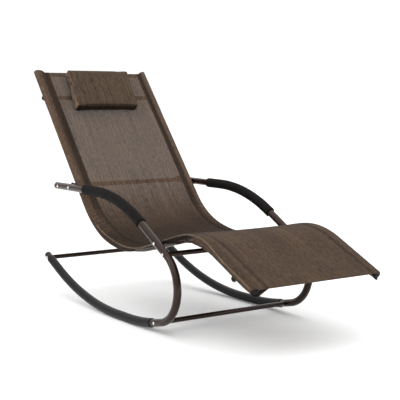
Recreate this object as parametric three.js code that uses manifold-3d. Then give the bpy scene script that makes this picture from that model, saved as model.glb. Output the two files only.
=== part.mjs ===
// Rocking chaise lounge: a mesh sling on two S-shaped side rails, carried by two bent tube sides
// that are arm, strut and curved floor tube in one, and roll on the floor in rubber sleeves.
// Millimetres. X runs across the seat, the feet point to -Y, the head to +Y, and Z is up.
// The origin lies on the floor, under the middle of the whole outline.
import * as THREE from "three";
import { mergeVertices } from "three/addons/utils/BufferGeometryUtils.js";
import Module from "manifold-3d";

const wasm = await Module();
wasm.setup();

const degree = Math.PI / 180;

// Across the seat, from the middle to the centre of each arm tube
const armHalfWidth = 305;

// Tubes and bars
const tubeRadius = 14.5;
const tubeWall = 1.2;
const railRadius = 14.5;
const railWall = 1.2;
const barRadius = 9.5;
const barWall = 1.2;
const fitGap = 0.3;
const cutOverrun = 2;

// Side tube, from the rear end of the arm forwards, down, and back along the floor
const armRearLength = 340;
const armBendRadius = 692;
const armBendTurn = 29 * degree;
const strutLength = 207.5;
const footBendRadius = 135;
const footBendTurn = 137.6 * degree;
const rockerRadius = 1273;
const rockerRearTurn = 24.5 * degree;
const rockerTailLength = 111;
const restFlat = 250;

// Side tube joint, and the swaged end inside it
const jointPastBend = 63;
const swageLength = 58;
const shoulderLength = 6;
const jointBoltBack = 30;

// Rubber sleeve and foam grip
const sleeveWall = 2.7;
const sleeveFrontGap = 3;
const sleeveRearGap = 1.5;
const gripWall = 5.2;
const gripStart = 249;
const gripLength = 452;
const gripChamfer = 4;

// Side rail, from its head end down to the seat and on to the foot
const backAngle = 50.5 * degree;
const backLength = 699;
const loinRadius = 361;
const loinTurn = 36.1 * degree;
const seatRadius = 621;
const seatTurn = 28.3 * degree;
const seatLength = 231;
const thighRadius = 249;
const kneeRadius = 351;
const legAngle = 25.1 * degree;
const legLength = 228;
const railJointPastSeat = 78;
const railSwageLength = 70;

// Bolts and what they hold
const boltRadius = 3;
const boltHeadRadius = 6;
const boltHeadHeight = 3.2;
const boltBevel = 1.4;
const insertLength = 16;
const bossRadius = 5;
const bossLength = 7;
const seatBoltPastArm = 135.5;
const seatBoltPastSeat = 111;
const seatBoltSpacing = 66;
const armEndBoltInset = 30;
const armBoltSpacing = 97;
const rearBoltInset = 22;
const spacerRadius = 10;
const spacerLength = 7.3;

// Bracket plate between the rear of the arm and the back
const bracketThickness = 4;
const bracketHalfHeight = 12;
const bracketMargin = 14;
const bracketLobe = 3;

// Crossbars behind and under the side rails
const headBarDrop = 125;
const lumbarBarRise = 30;
const footBarInset = 114;
const barEndPastRail = 8;

// Plugs
const plugDepth = 14;
const plugCap = 4.5;
const plugCrown = 2;
const barPlugDepth = 4;
const barPlugCap = 2.5;

// Sling
const clothThickness = 1.5;
const seamReach = 40;
const seamTaper = 4;
const windowAboveSeat = 96;
const windowPastKnee = 34;
const windowTop = -12 * degree;
const windowBottom = -108 * degree;
const saddleThickness = 2.4;
const saddleInset = 2;
const saddleSteps = 4;

// Pillow and the flap that holds it
const pillowWidth = 288;
const pillowHeight = 194;
const pillowDrop = 32;
const pillowEdge = 30;
const pillowCrown = 15;
const pillowDrawIn = 7;
const pillowBackBevel = 10;
const flapWidth = 236;
const flapTail = 150;
const stripWidth = 200;
const stripLength = 40;
const stripThickness = 1.1;
const stripInset = 8;

// How finely the rounds are cut
const tubeSides = 12;
const boreSides = 8;
const barSides = 8;
const holeSides = 8;
const armBendSteps = 5;
const footBendSteps = 10;
const rockerFrontSteps = 3;
const rockerRearSteps = 4;
const loinSteps = 4;
const seatSteps = 4;
const thighSteps = 2;
const kneeSteps = 3;
const pillowGrid = { across: 12, along: 8, through: 2 };

const finishes = {
  frame: () => new THREE.MeshStandardMaterial({ color: 0x4b413c, roughness: 0.42, metalness: 0.6 }),
  foam: () => new THREE.MeshStandardMaterial({ color: 0x1b1a1a, roughness: 0.95, metalness: 0 }),
  rubber: () => new THREE.MeshStandardMaterial({ color: 0x2c2a2a, roughness: 0.75, metalness: 0 }),
  mesh: () => new THREE.MeshStandardMaterial({ color: 0x5d4e43, roughness: 0.9, metalness: 0 }),
  plug: () => new THREE.MeshStandardMaterial({ color: 0x151414, roughness: 0.5, metalness: 0 }),
  zinc: () => new THREE.MeshStandardMaterial({ color: 0xc9c9c9, roughness: 0.3, metalness: 0.9 }),
  pillow: () => new THREE.MeshStandardMaterial({ color: 0x4a3d33, roughness: 0.92, metalness: 0 }),
};

const straight = (length) => ({ length, radius: 0, turn: 0, steps: 1 });
const bend = (radius, turn, steps) => ({ length: Math.abs(radius * turn), radius, turn, steps });

// A route in a side plane. A heading of zero points to the feet and turns down as it grows.
class Route {
  constructor(heading, legs) {
    this.origin = { y: 0, z: 0 };
    this.legs = [];
    this.marks = [0];
    let state = { y: 0, z: 0, heading, distance: 0 };
    for (const leg of legs) {
      this.legs.push({ ...leg, from: state });
      for (let step = 1; step <= leg.steps; step += 1) {
        this.marks.push(state.distance + (leg.length * step) / leg.steps);
      }
      state = this.along(this.legs.at(-1), leg.length);
    }
    this.length = state.distance;
  }

  along(leg, offset) {
    const { y, z, heading, distance } = leg.from;
    const turned = heading + (leg.turn * offset) / leg.length;
    const reach = distance + offset;
    if (leg.turn === 0) {
      return { y: y - Math.cos(heading) * offset, z: z - Math.sin(heading) * offset, heading, distance: reach };
    }
    const radius = leg.radius * Math.sign(leg.turn);
    return {
      y: y - radius * (Math.sin(turned) - Math.sin(heading)),
      z: z + radius * (Math.cos(turned) - Math.cos(heading)),
      heading: turned,
      distance: reach,
    };
  }

  at(distance) {
    const leg = this.legs.findLast(({ from }) => from.distance <= distance) ?? this.legs[0];
    const spot = this.along(leg, distance - leg.from.distance);
    return { ...spot, y: spot.y + this.origin.y, z: spot.z + this.origin.z };
  }

  mark(...distances) {
    this.marks.push(...distances);
  }

  // Every marked station from one distance to another
  stations(start, end) {
    const inside = this.marks.filter((mark) => mark > start + fitGap / 2 && mark < end - fitGap / 2);
    const distances = [...inside].sort((a, b) => a - b);
    const spread = distances.filter((mark, index) => index === 0 || mark - distances[index - 1] > fitGap / 2);
    return [start, ...spread, end].map((distance) => this.at(distance));
  }

  // The point that lies off the route towards its sitting side
  off(distance, height) {
    const spot = this.at(distance);
    return {
      ...spot,
      y: spot.y - Math.sin(spot.heading) * height,
      z: spot.z + Math.cos(spot.heading) * height,
    };
  }
}

// Stations as a curve for extrusion: a section's x runs across the seat and its y off the route
class Centreline extends THREE.Curve {
  constructor(x, stations) {
    super();
    this.x = x;
    this.spots = stations;
  }

  getPointAt(share) {
    const spot = this.spots[Math.round(share * (this.spots.length - 1))];
    return new THREE.Vector3(this.x, spot.y, spot.z);
  }

  computeFrenetFrames() {
    const tangents = this.spots.map(({ heading }) => new THREE.Vector3(0, -Math.cos(heading), -Math.sin(heading)));
    const normals = this.spots.map(() => new THREE.Vector3(1, 0, 0));
    const binormals = tangents.map((tangent, index) => new THREE.Vector3().crossVectors(tangent, normals[index]));
    return { tangents, normals, binormals };
  }
}

// A round polygon with flats facing up, down and sideways
function roundPoints(radius, sides) {
  return Array.from({ length: sides }, (_, index) => {
    const angle = ((index + 0.5) * 2 * Math.PI) / sides;
    return new THREE.Vector2(Math.cos(angle) * radius, Math.sin(angle) * radius);
  });
}

// From the centre of a round polygon to its flats
const flatOf = (radius, sides = tubeSides) => radius * Math.cos(Math.PI / sides);

function ring(radius, bore, outerSides = tubeSides, innerSides = tubeSides) {
  const shape = new THREE.Shape(roundPoints(radius, outerSides));
  shape.holes.push(new THREE.Path(roundPoints(bore, innerSides).reverse()));
  return shape;
}

function sweep(shape, x, stations) {
  return new THREE.ExtrudeGeometry(shape, {
    steps: stations.length - 1,
    bevelEnabled: false,
    extrudePath: new Centreline(x, stations),
  });
}

function solidOf(geometry) {
  const bare = geometry.clone();
  bare.deleteAttribute("normal");
  bare.deleteAttribute("uv");
  const merged = mergeVertices(bare);
  const vertProperties = new Float32Array(merged.attributes.position.array);
  const triVerts = new Uint32Array(merged.index.array);
  return new wasm.Manifold(new wasm.Mesh({ numProp: 3, vertProperties, triVerts }));
}

function geometryOf(solid) {
  const mesh = solid.getMesh();
  const geometry = new THREE.BufferGeometry();
  geometry.setAttribute("position", new THREE.BufferAttribute(new Float32Array(mesh.vertProperties), 3));
  geometry.setIndex(new THREE.BufferAttribute(new Uint32Array(mesh.triVerts), 1));
  return geometry;
}

const joined = (geometries) => geometryOf(geometries.map(solidOf).reduce((sum, solid) => sum.add(solid)));

function cut(geometry, cutters) {
  return geometryOf(cutters.map(solidOf).reduce((rest, solid) => rest.subtract(solid), solidOf(geometry)));
}

// A turned piece whose axis runs from a point along a direction; its profile is [radius, height]
function turned(profile, from, direction, sides = tubeSides) {
  const geometry = new THREE.LatheGeometry(profile.map(([r, h]) => new THREE.Vector2(r, h)), sides);
  geometry.rotateY(Math.PI / sides);
  geometry.applyQuaternion(new THREE.Quaternion().setFromUnitVectors(new THREE.Vector3(0, 1, 0), direction));
  return geometry.translate(from.x, from.y, from.z);
}

function rod(radius, length, from, direction, sides = holeSides) {
  return turned([[0, 0], [radius, 0], [radius, length], [0, length]], from, direction, sides);
}

// A bar across the seat, turned so that a flat of its section faces off the route it is fixed to
function barAcross(section, middle, length, spot) {
  const geometry = new THREE.ExtrudeGeometry(section, { depth: length, bevelEnabled: false });
  geometry.rotateY(Math.PI / 2);
  geometry.rotateX(spot.heading);
  return geometry.translate(middle - length / 2, spot.y, spot.z);
}

const barSection = () => ring(barRadius, barRadius - barWall, barSides, barSides);

const signs = [-1, 1];
const across = (sign) => new THREE.Vector3(sign, 0, 0);
const place = (x, spot) => new THREE.Vector3(x, spot.y, spot.z);

// Side tube route. Its rest flat lies level at the height of the sleeve's lower face.
const restTurn = 2 * Math.asin(restFlat / 2 / rockerRadius);
const rockerFrontTurn = Math.PI - armBendTurn - footBendTurn - restTurn / 2;
const side = new Route(0, [
  straight(armRearLength),
  bend(armBendRadius, armBendTurn, armBendSteps),
  straight(strutLength),
  bend(footBendRadius, footBendTurn, footBendSteps),
  bend(rockerRadius, rockerFrontTurn, rockerFrontSteps),
  bend(rockerRadius, restTurn, 1),
  bend(rockerRadius, rockerRearTurn - restTurn / 2, rockerRearSteps),
  straight(rockerTailLength),
]);
const sleeveBore = tubeRadius + fitGap;
const sleeveRadius = sleeveBore + sleeveWall;
const flatStart = side.legs[5].from;
const flatDepth = flatOf(sleeveRadius) * Math.cos(restTurn / 2);
side.origin = { y: -(flatStart.y + restFlat / 2), z: flatDepth - flatStart.z };

const strutStart = side.legs[2].from.distance;
const tubeJoint = side.legs[4].from.distance + jointPastBend;
const jointBolt = tubeJoint - jointBoltBack;
const sleeveStart = tubeJoint + sleeveFrontGap;
const gripEnd = gripStart + gripLength;
const seatBolt = strutStart + seatBoltPastArm;
const seatBarBolt = seatBolt + seatBoltSpacing;
const rearBolt = side.length - rearBoltInset;
const sleeveEnd = rearBolt - barRadius - sleeveRearGap;

// Side rail route. It crosses the side tube at the upper seat bolt.
const rail = new Route(backAngle, [
  straight(backLength),
  bend(loinRadius, -loinTurn, loinSteps),
  bend(seatRadius, -seatTurn, seatSteps),
  straight(seatLength),
  bend(thighRadius, loinTurn + seatTurn - backAngle, thighSteps),
  bend(kneeRadius, legAngle, kneeSteps),
  straight(legLength),
]);
const seatStart = rail.legs[3].from.distance;
const kneeStart = rail.legs[4].from.distance;
const railBolt = seatStart + seatBoltPastSeat;
const railBoltSpot = rail.at(railBolt);
const seatBoltSpot = side.at(seatBolt);
rail.origin = { y: seatBoltSpot.y - railBoltSpot.y, z: seatBoltSpot.z - railBoltSpot.z };
const railJoint = seatStart + railJointPastSeat;
const windowStart = seatStart - windowAboveSeat;
const windowEnd = kneeStart + windowPastKnee;
rail.mark(windowStart, windowEnd);

// Where the back passes the arms, and the second bolt there
const railHead = rail.at(0);
const armRear = side.at(0);
const armCrossing = (railHead.z - armRear.z) / Math.sin(backAngle);
const crossingSpot = rail.at(armCrossing);
const backBolt = armEndBoltInset + armBoltSpacing;

// Cross sections through the sling's pocket, and the bars under it
const pocketBore = railRadius + fitGap;
const pocketRadius = pocketBore + clothThickness;
const barDepth = -(flatOf(pocketRadius) + fitGap + flatOf(barRadius, barSides));
const headBar = rail.off(headBarDrop, barDepth);
const lumbarBar = rail.off(armCrossing - lumbarBarRise, barDepth);
const footBar = rail.off(rail.length - footBarInset, barDepth);
const seatBar = side.at(seatBarBolt);
const frontFloorBar = side.at(jointBolt);
const rearFloorBar = side.at(rearBolt);

// Faces across the seat, from the arms inwards. The spacer sets how far in the side rails lie.
const armOuter = armHalfWidth + flatOf(tubeRadius);
const armInner = armHalfWidth - flatOf(tubeRadius);
const saddleBore = railRadius + fitGap;
const saddleRadius = saddleBore + saddleThickness;
const saddleOuter = armInner - fitGap - spacerLength - fitGap;
const railHalfWidth = saddleOuter - flatOf(saddleRadius);
const sideBarHalf = armInner - fitGap;
const bracketOuter = armInner - fitGap;
const bracketInner = bracketOuter - bracketThickness;
const backBarHalf = railHalfWidth + barEndPastRail;
const holeRadius = boltRadius + fitGap;
const bossTip = flatOf(railRadius - railWall, boreSides) - bossLength;
const barTip = sideBarHalf - insertLength;

// Each bolt of a side: where it sits, and how far in its tip reaches
const sideBolts = {
  arm_end_bolt: { spot: side.at(armEndBoltInset), tip: bracketInner },
  back_bolt: { spot: side.at(backBolt), tip: bracketInner },
  seat_bolt: { spot: seatBoltSpot, tip: railHalfWidth + bossTip },
  seat_bar_bolt: { spot: seatBar, tip: barTip },
  joint_bolt: { spot: frontFloorBar, tip: barTip },
  rear_bolt: { spot: rearFloorBar, tip: barTip },
};

const boltHoles = (sign, ...names) => names.map((name) => {
  const { spot, tip } = sideBolts[name];
  const length = armOuter - tip + cutOverrun * 2;
  return rod(holeRadius, length, place(sign * (tip - cutOverrun), spot), across(sign));
});

// Screws that run from behind through a crossbar into the side rail
const railScrews = {
  head_bar_screw: rail.at(headBarDrop),
  lumbar_bar_screw: rail.at(armCrossing - lumbarBarRise),
  foot_bar_screw: rail.at(rail.length - footBarInset),
};
const offRail = ({ heading }) => new THREE.Vector3(0, -Math.sin(heading), Math.cos(heading));
const railSpot = (spot, sign, depth) => place(sign * railHalfWidth, spot).addScaledVector(offRail(spot), depth);
const screwHeadDepth = barDepth - flatOf(barRadius, barSides) - fitGap;
const screwLength = -bossTip - screwHeadDepth;
const screwHoles = (sign, ...names) => names.map((name) => {
  const spot = railScrews[name];
  return rod(holeRadius, screwLength + cutOverrun * 2, railSpot(spot, sign, screwHeadDepth - cutOverrun), offRail(spot));
});

const pipe = (radius, wall) => ring(radius, radius - wall, tubeSides, boreSides);

function armTube(sign) {
  const stations = side.stations(0, tubeJoint - fitGap);
  const tube = sweep(pipe(tubeRadius, tubeWall), sign * armHalfWidth, stations);
  return cut(tube, boltHoles(sign, "arm_end_bolt", "back_bolt", "seat_bolt", "seat_bar_bolt", "joint_bolt"));
}

// A tube whose front end is drawn down to slide into the tube before it
function swagedTube(route, radius, wall, x, joint, swageReach) {
  const swage = radius - wall - fitGap;
  const shoulderEnd = joint + shoulderLength;
  const bore = swage - wall;
  return [
    sweep(pipe(radius, wall), x, route.stations(joint, route.length)),
    sweep(ring(swage, bore, boreSides, boreSides), x, route.stations(joint - swageReach, shoulderEnd)),
    sweep(ring(radius - wall / 2, bore, tubeSides, boreSides), x, route.stations(joint, shoulderEnd)),
  ];
}

function rockerTube(sign) {
  const body = joined(swagedTube(side, tubeRadius, tubeWall, sign * armHalfWidth, tubeJoint, swageLength));
  return cut(body, boltHoles(sign, "joint_bolt", "rear_bolt"));
}

const rubberSleeve = (sign) =>
  sweep(ring(sleeveRadius, sleeveBore), sign * armHalfWidth, side.stations(sleeveStart, sleeveEnd));

function foamGrip(sign) {
  const bore = tubeRadius + fitGap;
  const radius = bore + gripWall;
  const x = sign * armHalfWidth;
  return joined([
    sweep(ring(radius, bore), x, side.stations(gripStart + gripChamfer, gripEnd - gripChamfer)),
    sweep(ring(radius - gripChamfer / 2, bore), x, side.stations(gripStart, gripEnd)),
  ]);
}

// Threaded bosses inside a side rail's wall, for the bolts from the side and the screws from behind
function bosses(sign, boltNames, screwNames) {
  const length = bossLength + railWall / 2;
  const lying = boltNames.map((name) =>
    rod(bossRadius, length, place(sign * sideBolts[name].tip, sideBolts[name].spot), across(sign)));
  const upright = screwNames.map((name) => {
    const spot = railScrews[name];
    return rod(bossRadius, length, railSpot(spot, sign, -bossTip - length), offRail(spot));
  });
  return [...lying, ...upright];
}

function backRail(sign) {
  const screws = ["head_bar_screw", "lumbar_bar_screw"];
  const stations = rail.stations(0, railJoint - fitGap);
  const tube = sweep(pipe(railRadius, railWall), sign * railHalfWidth, stations);
  return cut(joined([tube, ...bosses(sign, [], screws)]), screwHoles(sign, ...screws));
}

function legRail(sign) {
  const body = joined([
    ...swagedTube(rail, railRadius, railWall, sign * railHalfWidth, railJoint, railSwageLength),
    ...bosses(sign, ["seat_bolt"], ["foot_bar_screw"]),
  ]);
  return cut(body, [...boltHoles(sign, "seat_bolt"), ...screwHoles(sign, "foot_bar_screw")]);
}

// Outline of one side of the sling, from its middle over the pocket and back under, and the pocket's bore
function pocketOutline(sign) {
  const arc = [75, 45, 15, -15, -45, -75, -105, -135];
  const onCircle = (radius) => (angle) => new THREE.Vector2(
    sign * (railHalfWidth + Math.cos(angle * degree) * radius),
    Math.sin(angle * degree) * radius,
  );
  const seam = sign * (railHalfWidth - seamReach);
  const underside = flatOf(pocketBore);
  return {
    outer: [
      ...arc.map(onCircle(pocketRadius)),
      new THREE.Vector2(seam, underside - clothThickness),
      new THREE.Vector2(seam, underside),
    ],
    bore: [...arc.map(onCircle(pocketBore)), new THREE.Vector2(seam + sign * seamTaper, underside - fitGap)],
  };
}

function annularSector(inner, outer, start, end, steps, x) {
  const arc = (radius, from, to) => Array.from({ length: steps + 1 }, (_, index) => {
    const angle = from + ((to - from) * index) / steps;
    return new THREE.Vector2(x * Math.cos(angle) * radius, Math.sin(angle) * radius);
  });
  return new THREE.Shape([...arc(outer, start, end), ...arc(inner, end, start)]);
}

function slingCloth() {
  const left = pocketOutline(1);
  const right = pocketOutline(-1);
  const shape = new THREE.Shape([...right.outer, ...left.outer.toReversed()]);
  shape.holes.push(new THREE.Path(left.bore), new THREE.Path(right.bore));
  const cloth = sweep(shape, 0, rail.stations(0, rail.length));
  const cutters = signs.flatMap((sign) => [
    windowCutter(sign),
    ...boltHoles(sign, "seat_bolt"),
    ...screwHoles(sign, ...Object.keys(railScrews)),
  ]);
  return cut(cloth, cutters);
}

function windowCutter(sign) {
  const inner = railRadius + fitGap / 2;
  const outer = pocketRadius + cutOverrun;
  const shape = annularSector(inner, outer, windowBottom, windowTop, saddleSteps, sign);
  return sweep(shape, sign * railHalfWidth, rail.stations(windowStart, windowEnd));
}

function railSaddle(sign) {
  const edge = saddleInset / pocketRadius;
  const shape = annularSector(saddleBore, saddleRadius, windowBottom + edge, windowTop - edge, saddleSteps, sign);
  const stations = rail.stations(windowStart + saddleInset, windowEnd - saddleInset);
  return cut(sweep(shape, sign * railHalfWidth, stations), boltHoles(sign, "seat_bolt"));
}

function armBracket(sign) {
  const rear = side.at(armEndBoltInset).y + bracketMargin;
  const front = crossingSpot.y - bracketMargin;
  const lobeRadius = barRadius + bracketLobe;
  const lobeHeight = lumbarBar.z - armRear.z;
  const lobeHalf = Math.sqrt(lobeRadius ** 2 - (bracketHalfHeight - lobeHeight) ** 2);
  const lobeAngle = Math.asin((bracketHalfHeight - lobeHeight) / lobeRadius);
  const shape = new THREE.Shape();
  shape.moveTo(front, -bracketHalfHeight);
  shape.lineTo(rear, -bracketHalfHeight);
  shape.lineTo(rear, bracketHalfHeight);
  shape.lineTo(lumbarBar.y + lobeHalf, bracketHalfHeight);
  shape.absarc(lumbarBar.y, lobeHeight, lobeRadius, lobeAngle, Math.PI - lobeAngle, false);
  shape.lineTo(front, bracketHalfHeight);
  const plate = new THREE.ExtrudeGeometry(shape, { depth: bracketThickness, bevelEnabled: false, curveSegments: 6 });
  plate.applyMatrix4(new THREE.Matrix4().makeBasis(
    new THREE.Vector3(0, 1, 0), new THREE.Vector3(0, 0, 1), new THREE.Vector3(1, 0, 0),
  ));
  plate.translate(sign > 0 ? bracketInner : -bracketOuter, 0, armRear.z);
  return cut(plate, boltHoles(sign, "arm_end_bolt", "back_bolt"));
}

// A bar that lies behind the side rails and is screwed to them
function railBar(halfLength, spot, screw) {
  const tube = barAcross(barSection(), 0, halfLength * 2, spot);
  return cut(tube, signs.flatMap((sign) => screwHoles(sign, screw)));
}

// A bar between the side tubes, with a threaded insert in each end for its bolt
function sideBar(spot, bolt) {
  const tube = barAcross(barSection(), 0, sideBarHalf * 2, spot);
  const insert = new THREE.Shape(roundPoints(barRadius - barWall / 2, barSides));
  const inserts = signs.map((sign) => barAcross(insert, sign * (barTip + insertLength / 2), insertLength, spot));
  return cut(joined([tube, ...inserts]), signs.flatMap((sign) => boltHoles(sign, bolt)));
}

function seatSpacer(sign) {
  const start = place(sign * (saddleOuter + fitGap), seatBoltSpot);
  const spacer = rod(spacerRadius, spacerLength, start, across(sign), tubeSides);
  return cut(spacer, boltHoles(sign, "seat_bolt"));
}

// A plug's stem sits in the bore and its crowned cap covers the tube's end
function plug(radius, bore, depth, cap, from, direction, sides) {
  const stem = bore - fitGap;
  const profile = [[0, -depth], [stem, -depth], [stem, fitGap], [radius, fitGap], [radius - plugCrown, cap], [0, cap]];
  return turned(profile, from, direction, sides);
}

function tubePlug(x, spot, sense) {
  const direction = new THREE.Vector3(0, -Math.cos(spot.heading), -Math.sin(spot.heading)).multiplyScalar(sense);
  const bore = flatOf(tubeRadius - tubeWall, boreSides);
  return plug(tubeRadius, bore, plugDepth, plugCap, place(x, spot), direction, tubeSides);
}

function barPlug(sign, spot) {
  const bore = flatOf(barRadius - barWall, barSides);
  return plug(barRadius, bore, barPlugDepth, barPlugCap, place(sign * backBarHalf, spot), across(sign), barSides);
}

function sideBolt({ spot, tip }, sign) {
  const face = armOuter + fitGap;
  const profile = [
    [0, tip - face], [boltRadius, tip - face], [boltRadius, 0], [boltHeadRadius, 0],
    [boltHeadRadius - boltBevel, boltHeadHeight], [0, boltHeadHeight],
  ];
  return turned(profile, place(sign * face, spot), across(sign), holeSides);
}

function railScrew(spot, sign) {
  const profile = [
    [0, -boltHeadHeight], [boltHeadRadius - boltBevel, -boltHeadHeight], [boltHeadRadius, 0],
    [boltRadius, 0], [boltRadius, screwLength], [0, screwLength],
  ];
  return turned(profile, railSpot(spot, sign, screwHeadDepth), offRail(spot), holeSides);
}

// The pillow in its own frame: x across, y up the back, z off the cloth, with a flat back at zero.
// Its front crowns, its sides draw in between the corners, and its back edges are rounded off.
function pillowBody() {
  const { across: columns, along: rows, through: layers } = pillowGrid;
  const geometry = new THREE.BoxGeometry(2, 2, 1, columns, rows, layers);
  const points = geometry.attributes.position;
  for (let index = 0; index < points.count; index += 1) {
    const u = points.getX(index);
    const v = points.getY(index);
    const layer = points.getZ(index) + 1 / 2;
    const crown = (1 - u ** 4) * (1 - v ** 4);
    const halfWidth = pillowWidth / 2 - pillowDrawIn * (1 - v ** 2) * Math.abs(u) ** 3;
    const halfHeight = pillowHeight / 2 - pillowDrawIn * (1 - u ** 2) * Math.abs(v) ** 3;
    const pinch = pillowBackBevel * (1 - 4 * layer * (1 - layer)) / 2;
    const widthHere = halfWidth - pinch * Math.abs(u) ** 3;
    const heightHere = halfHeight - pinch * Math.abs(v) ** 3;
    points.setXYZ(index, u * widthHere, v * heightHere, layer * (pillowEdge + pillowCrown * crown));
  }
  return geometry;
}

// The flap as a strip that runs behind the pillow, over the sling's top edge and down its back
function flapStrip(backFace, frontFace) {
  const over = fitGap;
  const tail = new THREE.Shape([
    new THREE.Vector2(frontFace, -pillowDrop - pillowHeight / 2),
    new THREE.Vector2(frontFace + clothThickness, -pillowDrop - pillowHeight / 2),
    new THREE.Vector2(frontFace + clothThickness, over),
    new THREE.Vector2(frontFace, over + clothThickness),
    new THREE.Vector2(backFace, over + clothThickness),
    new THREE.Vector2(backFace - clothThickness, over),
    new THREE.Vector2(backFace - clothThickness, -flapTail),
    new THREE.Vector2(backFace, -flapTail),
    new THREE.Vector2(backFace, over),
    new THREE.Vector2(frontFace, over),
  ]);
  const geometry = new THREE.ExtrudeGeometry(tail, { depth: flapWidth, bevelEnabled: false });
  geometry.translate(0, 0, -flapWidth / 2);
  return geometry.rotateY(-Math.PI / 2);
}

function gripStrip(backFace, drop) {
  const geometry = new THREE.BoxGeometry(stripWidth, stripLength, stripThickness);
  return geometry.translate(0, drop - stripLength / 2, backFace - stripThickness / 2);
}

const chaise = new THREE.Group();

function add(parent, name, geometry, finish) {
  const mesh = new THREE.Mesh(geometry, finishes[finish]());
  mesh.name = name;
  parent.add(mesh);
  return mesh;
}

function buildSide(name, sign) {
  add(chaise, `arm_tube_${name}`, armTube(sign), "frame");
  add(chaise, `rocker_tube_${name}`, rockerTube(sign), "frame");
  add(chaise, `rubber_sleeve_${name}`, rubberSleeve(sign), "rubber");
  add(chaise, `foam_grip_${name}`, foamGrip(sign), "foam");
  add(chaise, `back_rail_${name}`, backRail(sign), "frame");
  add(chaise, `leg_rail_${name}`, legRail(sign), "frame");
  add(chaise, `rail_saddle_${name}`, railSaddle(sign), "frame");
  add(chaise, `arm_bracket_${name}`, armBracket(sign), "frame");
  add(chaise, `seat_spacer_${name}`, seatSpacer(sign), "plug");
  add(chaise, `arm_plug_${name}`, tubePlug(sign * armHalfWidth, side.at(0), -1), "plug");
  add(chaise, `rocker_plug_${name}`, tubePlug(sign * armHalfWidth, side.at(side.length), 1), "plug");
  add(chaise, `rail_head_plug_${name}`, tubePlug(sign * railHalfWidth, rail.at(0), -1), "plug");
  add(chaise, `rail_foot_plug_${name}`, tubePlug(sign * railHalfWidth, rail.at(rail.length), 1), "plug");
  add(chaise, `head_bar_plug_${name}`, barPlug(sign, headBar), "plug");
  add(chaise, `foot_bar_plug_${name}`, barPlug(sign, footBar), "plug");
}

function buildBars() {
  add(chaise, "head_crossbar", railBar(backBarHalf, headBar, "head_bar_screw"), "frame");
  add(chaise, "lumbar_crossbar", railBar(bracketInner, lumbarBar, "lumbar_bar_screw"), "frame");
  add(chaise, "foot_crossbar", railBar(backBarHalf, footBar, "foot_bar_screw"), "frame");
  add(chaise, "seat_crossbar", sideBar(seatBar, "seat_bar_bolt"), "frame");
  add(chaise, "front_floor_bar", sideBar(frontFloorBar, "joint_bolt"), "frame");
  add(chaise, "rear_floor_bar", sideBar(rearFloorBar, "rear_bolt"), "frame");
}

function buildFasteners(name, sign) {
  for (const [bolt, values] of Object.entries(sideBolts)) {
    add(chaise, `${bolt}_${name}`, sideBolt(values, sign), "zinc");
  }
  for (const [screw, spot] of Object.entries(railScrews)) {
    add(chaise, `${screw}_${name}`, railScrew(spot, sign), "zinc");
  }
}

function buildPillow() {
  const back = new THREE.Group();
  back.position.set(0, railHead.y, railHead.z);
  back.rotation.x = backAngle;
  chaise.add(back);
  const clothFront = flatOf(pocketRadius);
  const clothBack = flatOf(pocketBore);
  const flapFront = clothFront + fitGap;
  const loopFace = clothBack - fitGap;
  const hookFace = loopFace - stripThickness - fitGap;
  const flapBack = hookFace - stripThickness - fitGap;
  const pillowSeat = flapFront + clothThickness + fitGap;
  const stripDrop = stripInset + stripLength - flapTail;
  const pillow = add(back, "pillow", pillowBody(), "pillow");
  pillow.position.set(0, -pillowDrop - pillowHeight / 2, pillowSeat);
  add(back, "pillow_flap", flapStrip(flapBack, flapFront), "pillow");
  add(back, "hook_strip", gripStrip(hookFace, stripDrop), "plug");
  add(back, "loop_strip", gripStrip(loopFace, stripDrop), "plug");
}

for (const [name, sign] of [["right", -1], ["left", 1]]) {
  buildSide(name, sign);
  buildFasteners(name, sign);
}
buildBars();
add(chaise, "sling", slingCloth(), "mesh");
buildPillow();

// The origin goes under the middle of the outline from foot to head
chaise.updateMatrixWorld(true);
const outline = new THREE.Box3().setFromObject(chaise, true);
chaise.position.y = -(outline.min.y + outline.max.y) / 2;

export default chaise;
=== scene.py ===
"""Rocking chaise lounge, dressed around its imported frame.

Metres. X runs across the seat with the sitter's left at +X, the feet point to -Y, the head to +Y
and Z is up. The origin lies on the floor under the middle of the outline. A route is a line in a
side plane. Angles round a rail are in degrees, from zero outwards to 90 straight off the seat.
"""

from __future__ import annotations

import logging
import math
from dataclasses import dataclass
from enum import Enum
from typing import Iterable, Sequence

import bmesh
import bpy
from bmesh.types import BMEdge, BMesh, BMVert
from mathutils import Matrix, Vector, noise
from mathutils.bvhtree import BVHTree

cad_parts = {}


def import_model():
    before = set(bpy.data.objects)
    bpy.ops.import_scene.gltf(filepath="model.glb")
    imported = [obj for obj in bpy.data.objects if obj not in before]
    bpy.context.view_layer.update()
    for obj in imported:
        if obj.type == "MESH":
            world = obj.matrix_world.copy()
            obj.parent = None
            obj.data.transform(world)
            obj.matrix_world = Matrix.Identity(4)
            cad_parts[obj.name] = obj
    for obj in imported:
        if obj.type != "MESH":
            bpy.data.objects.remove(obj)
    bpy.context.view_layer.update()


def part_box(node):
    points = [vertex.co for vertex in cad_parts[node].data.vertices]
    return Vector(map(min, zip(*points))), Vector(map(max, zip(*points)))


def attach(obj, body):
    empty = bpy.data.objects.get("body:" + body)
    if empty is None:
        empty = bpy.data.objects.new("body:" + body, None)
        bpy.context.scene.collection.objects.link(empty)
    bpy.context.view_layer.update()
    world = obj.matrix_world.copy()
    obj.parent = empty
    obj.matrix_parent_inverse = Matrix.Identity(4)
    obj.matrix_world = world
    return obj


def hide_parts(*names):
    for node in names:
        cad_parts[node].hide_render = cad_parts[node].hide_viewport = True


log = logging.getLogger("chaise")

Pair = tuple[float, float]
Colour = tuple[float, float, float]


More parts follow.
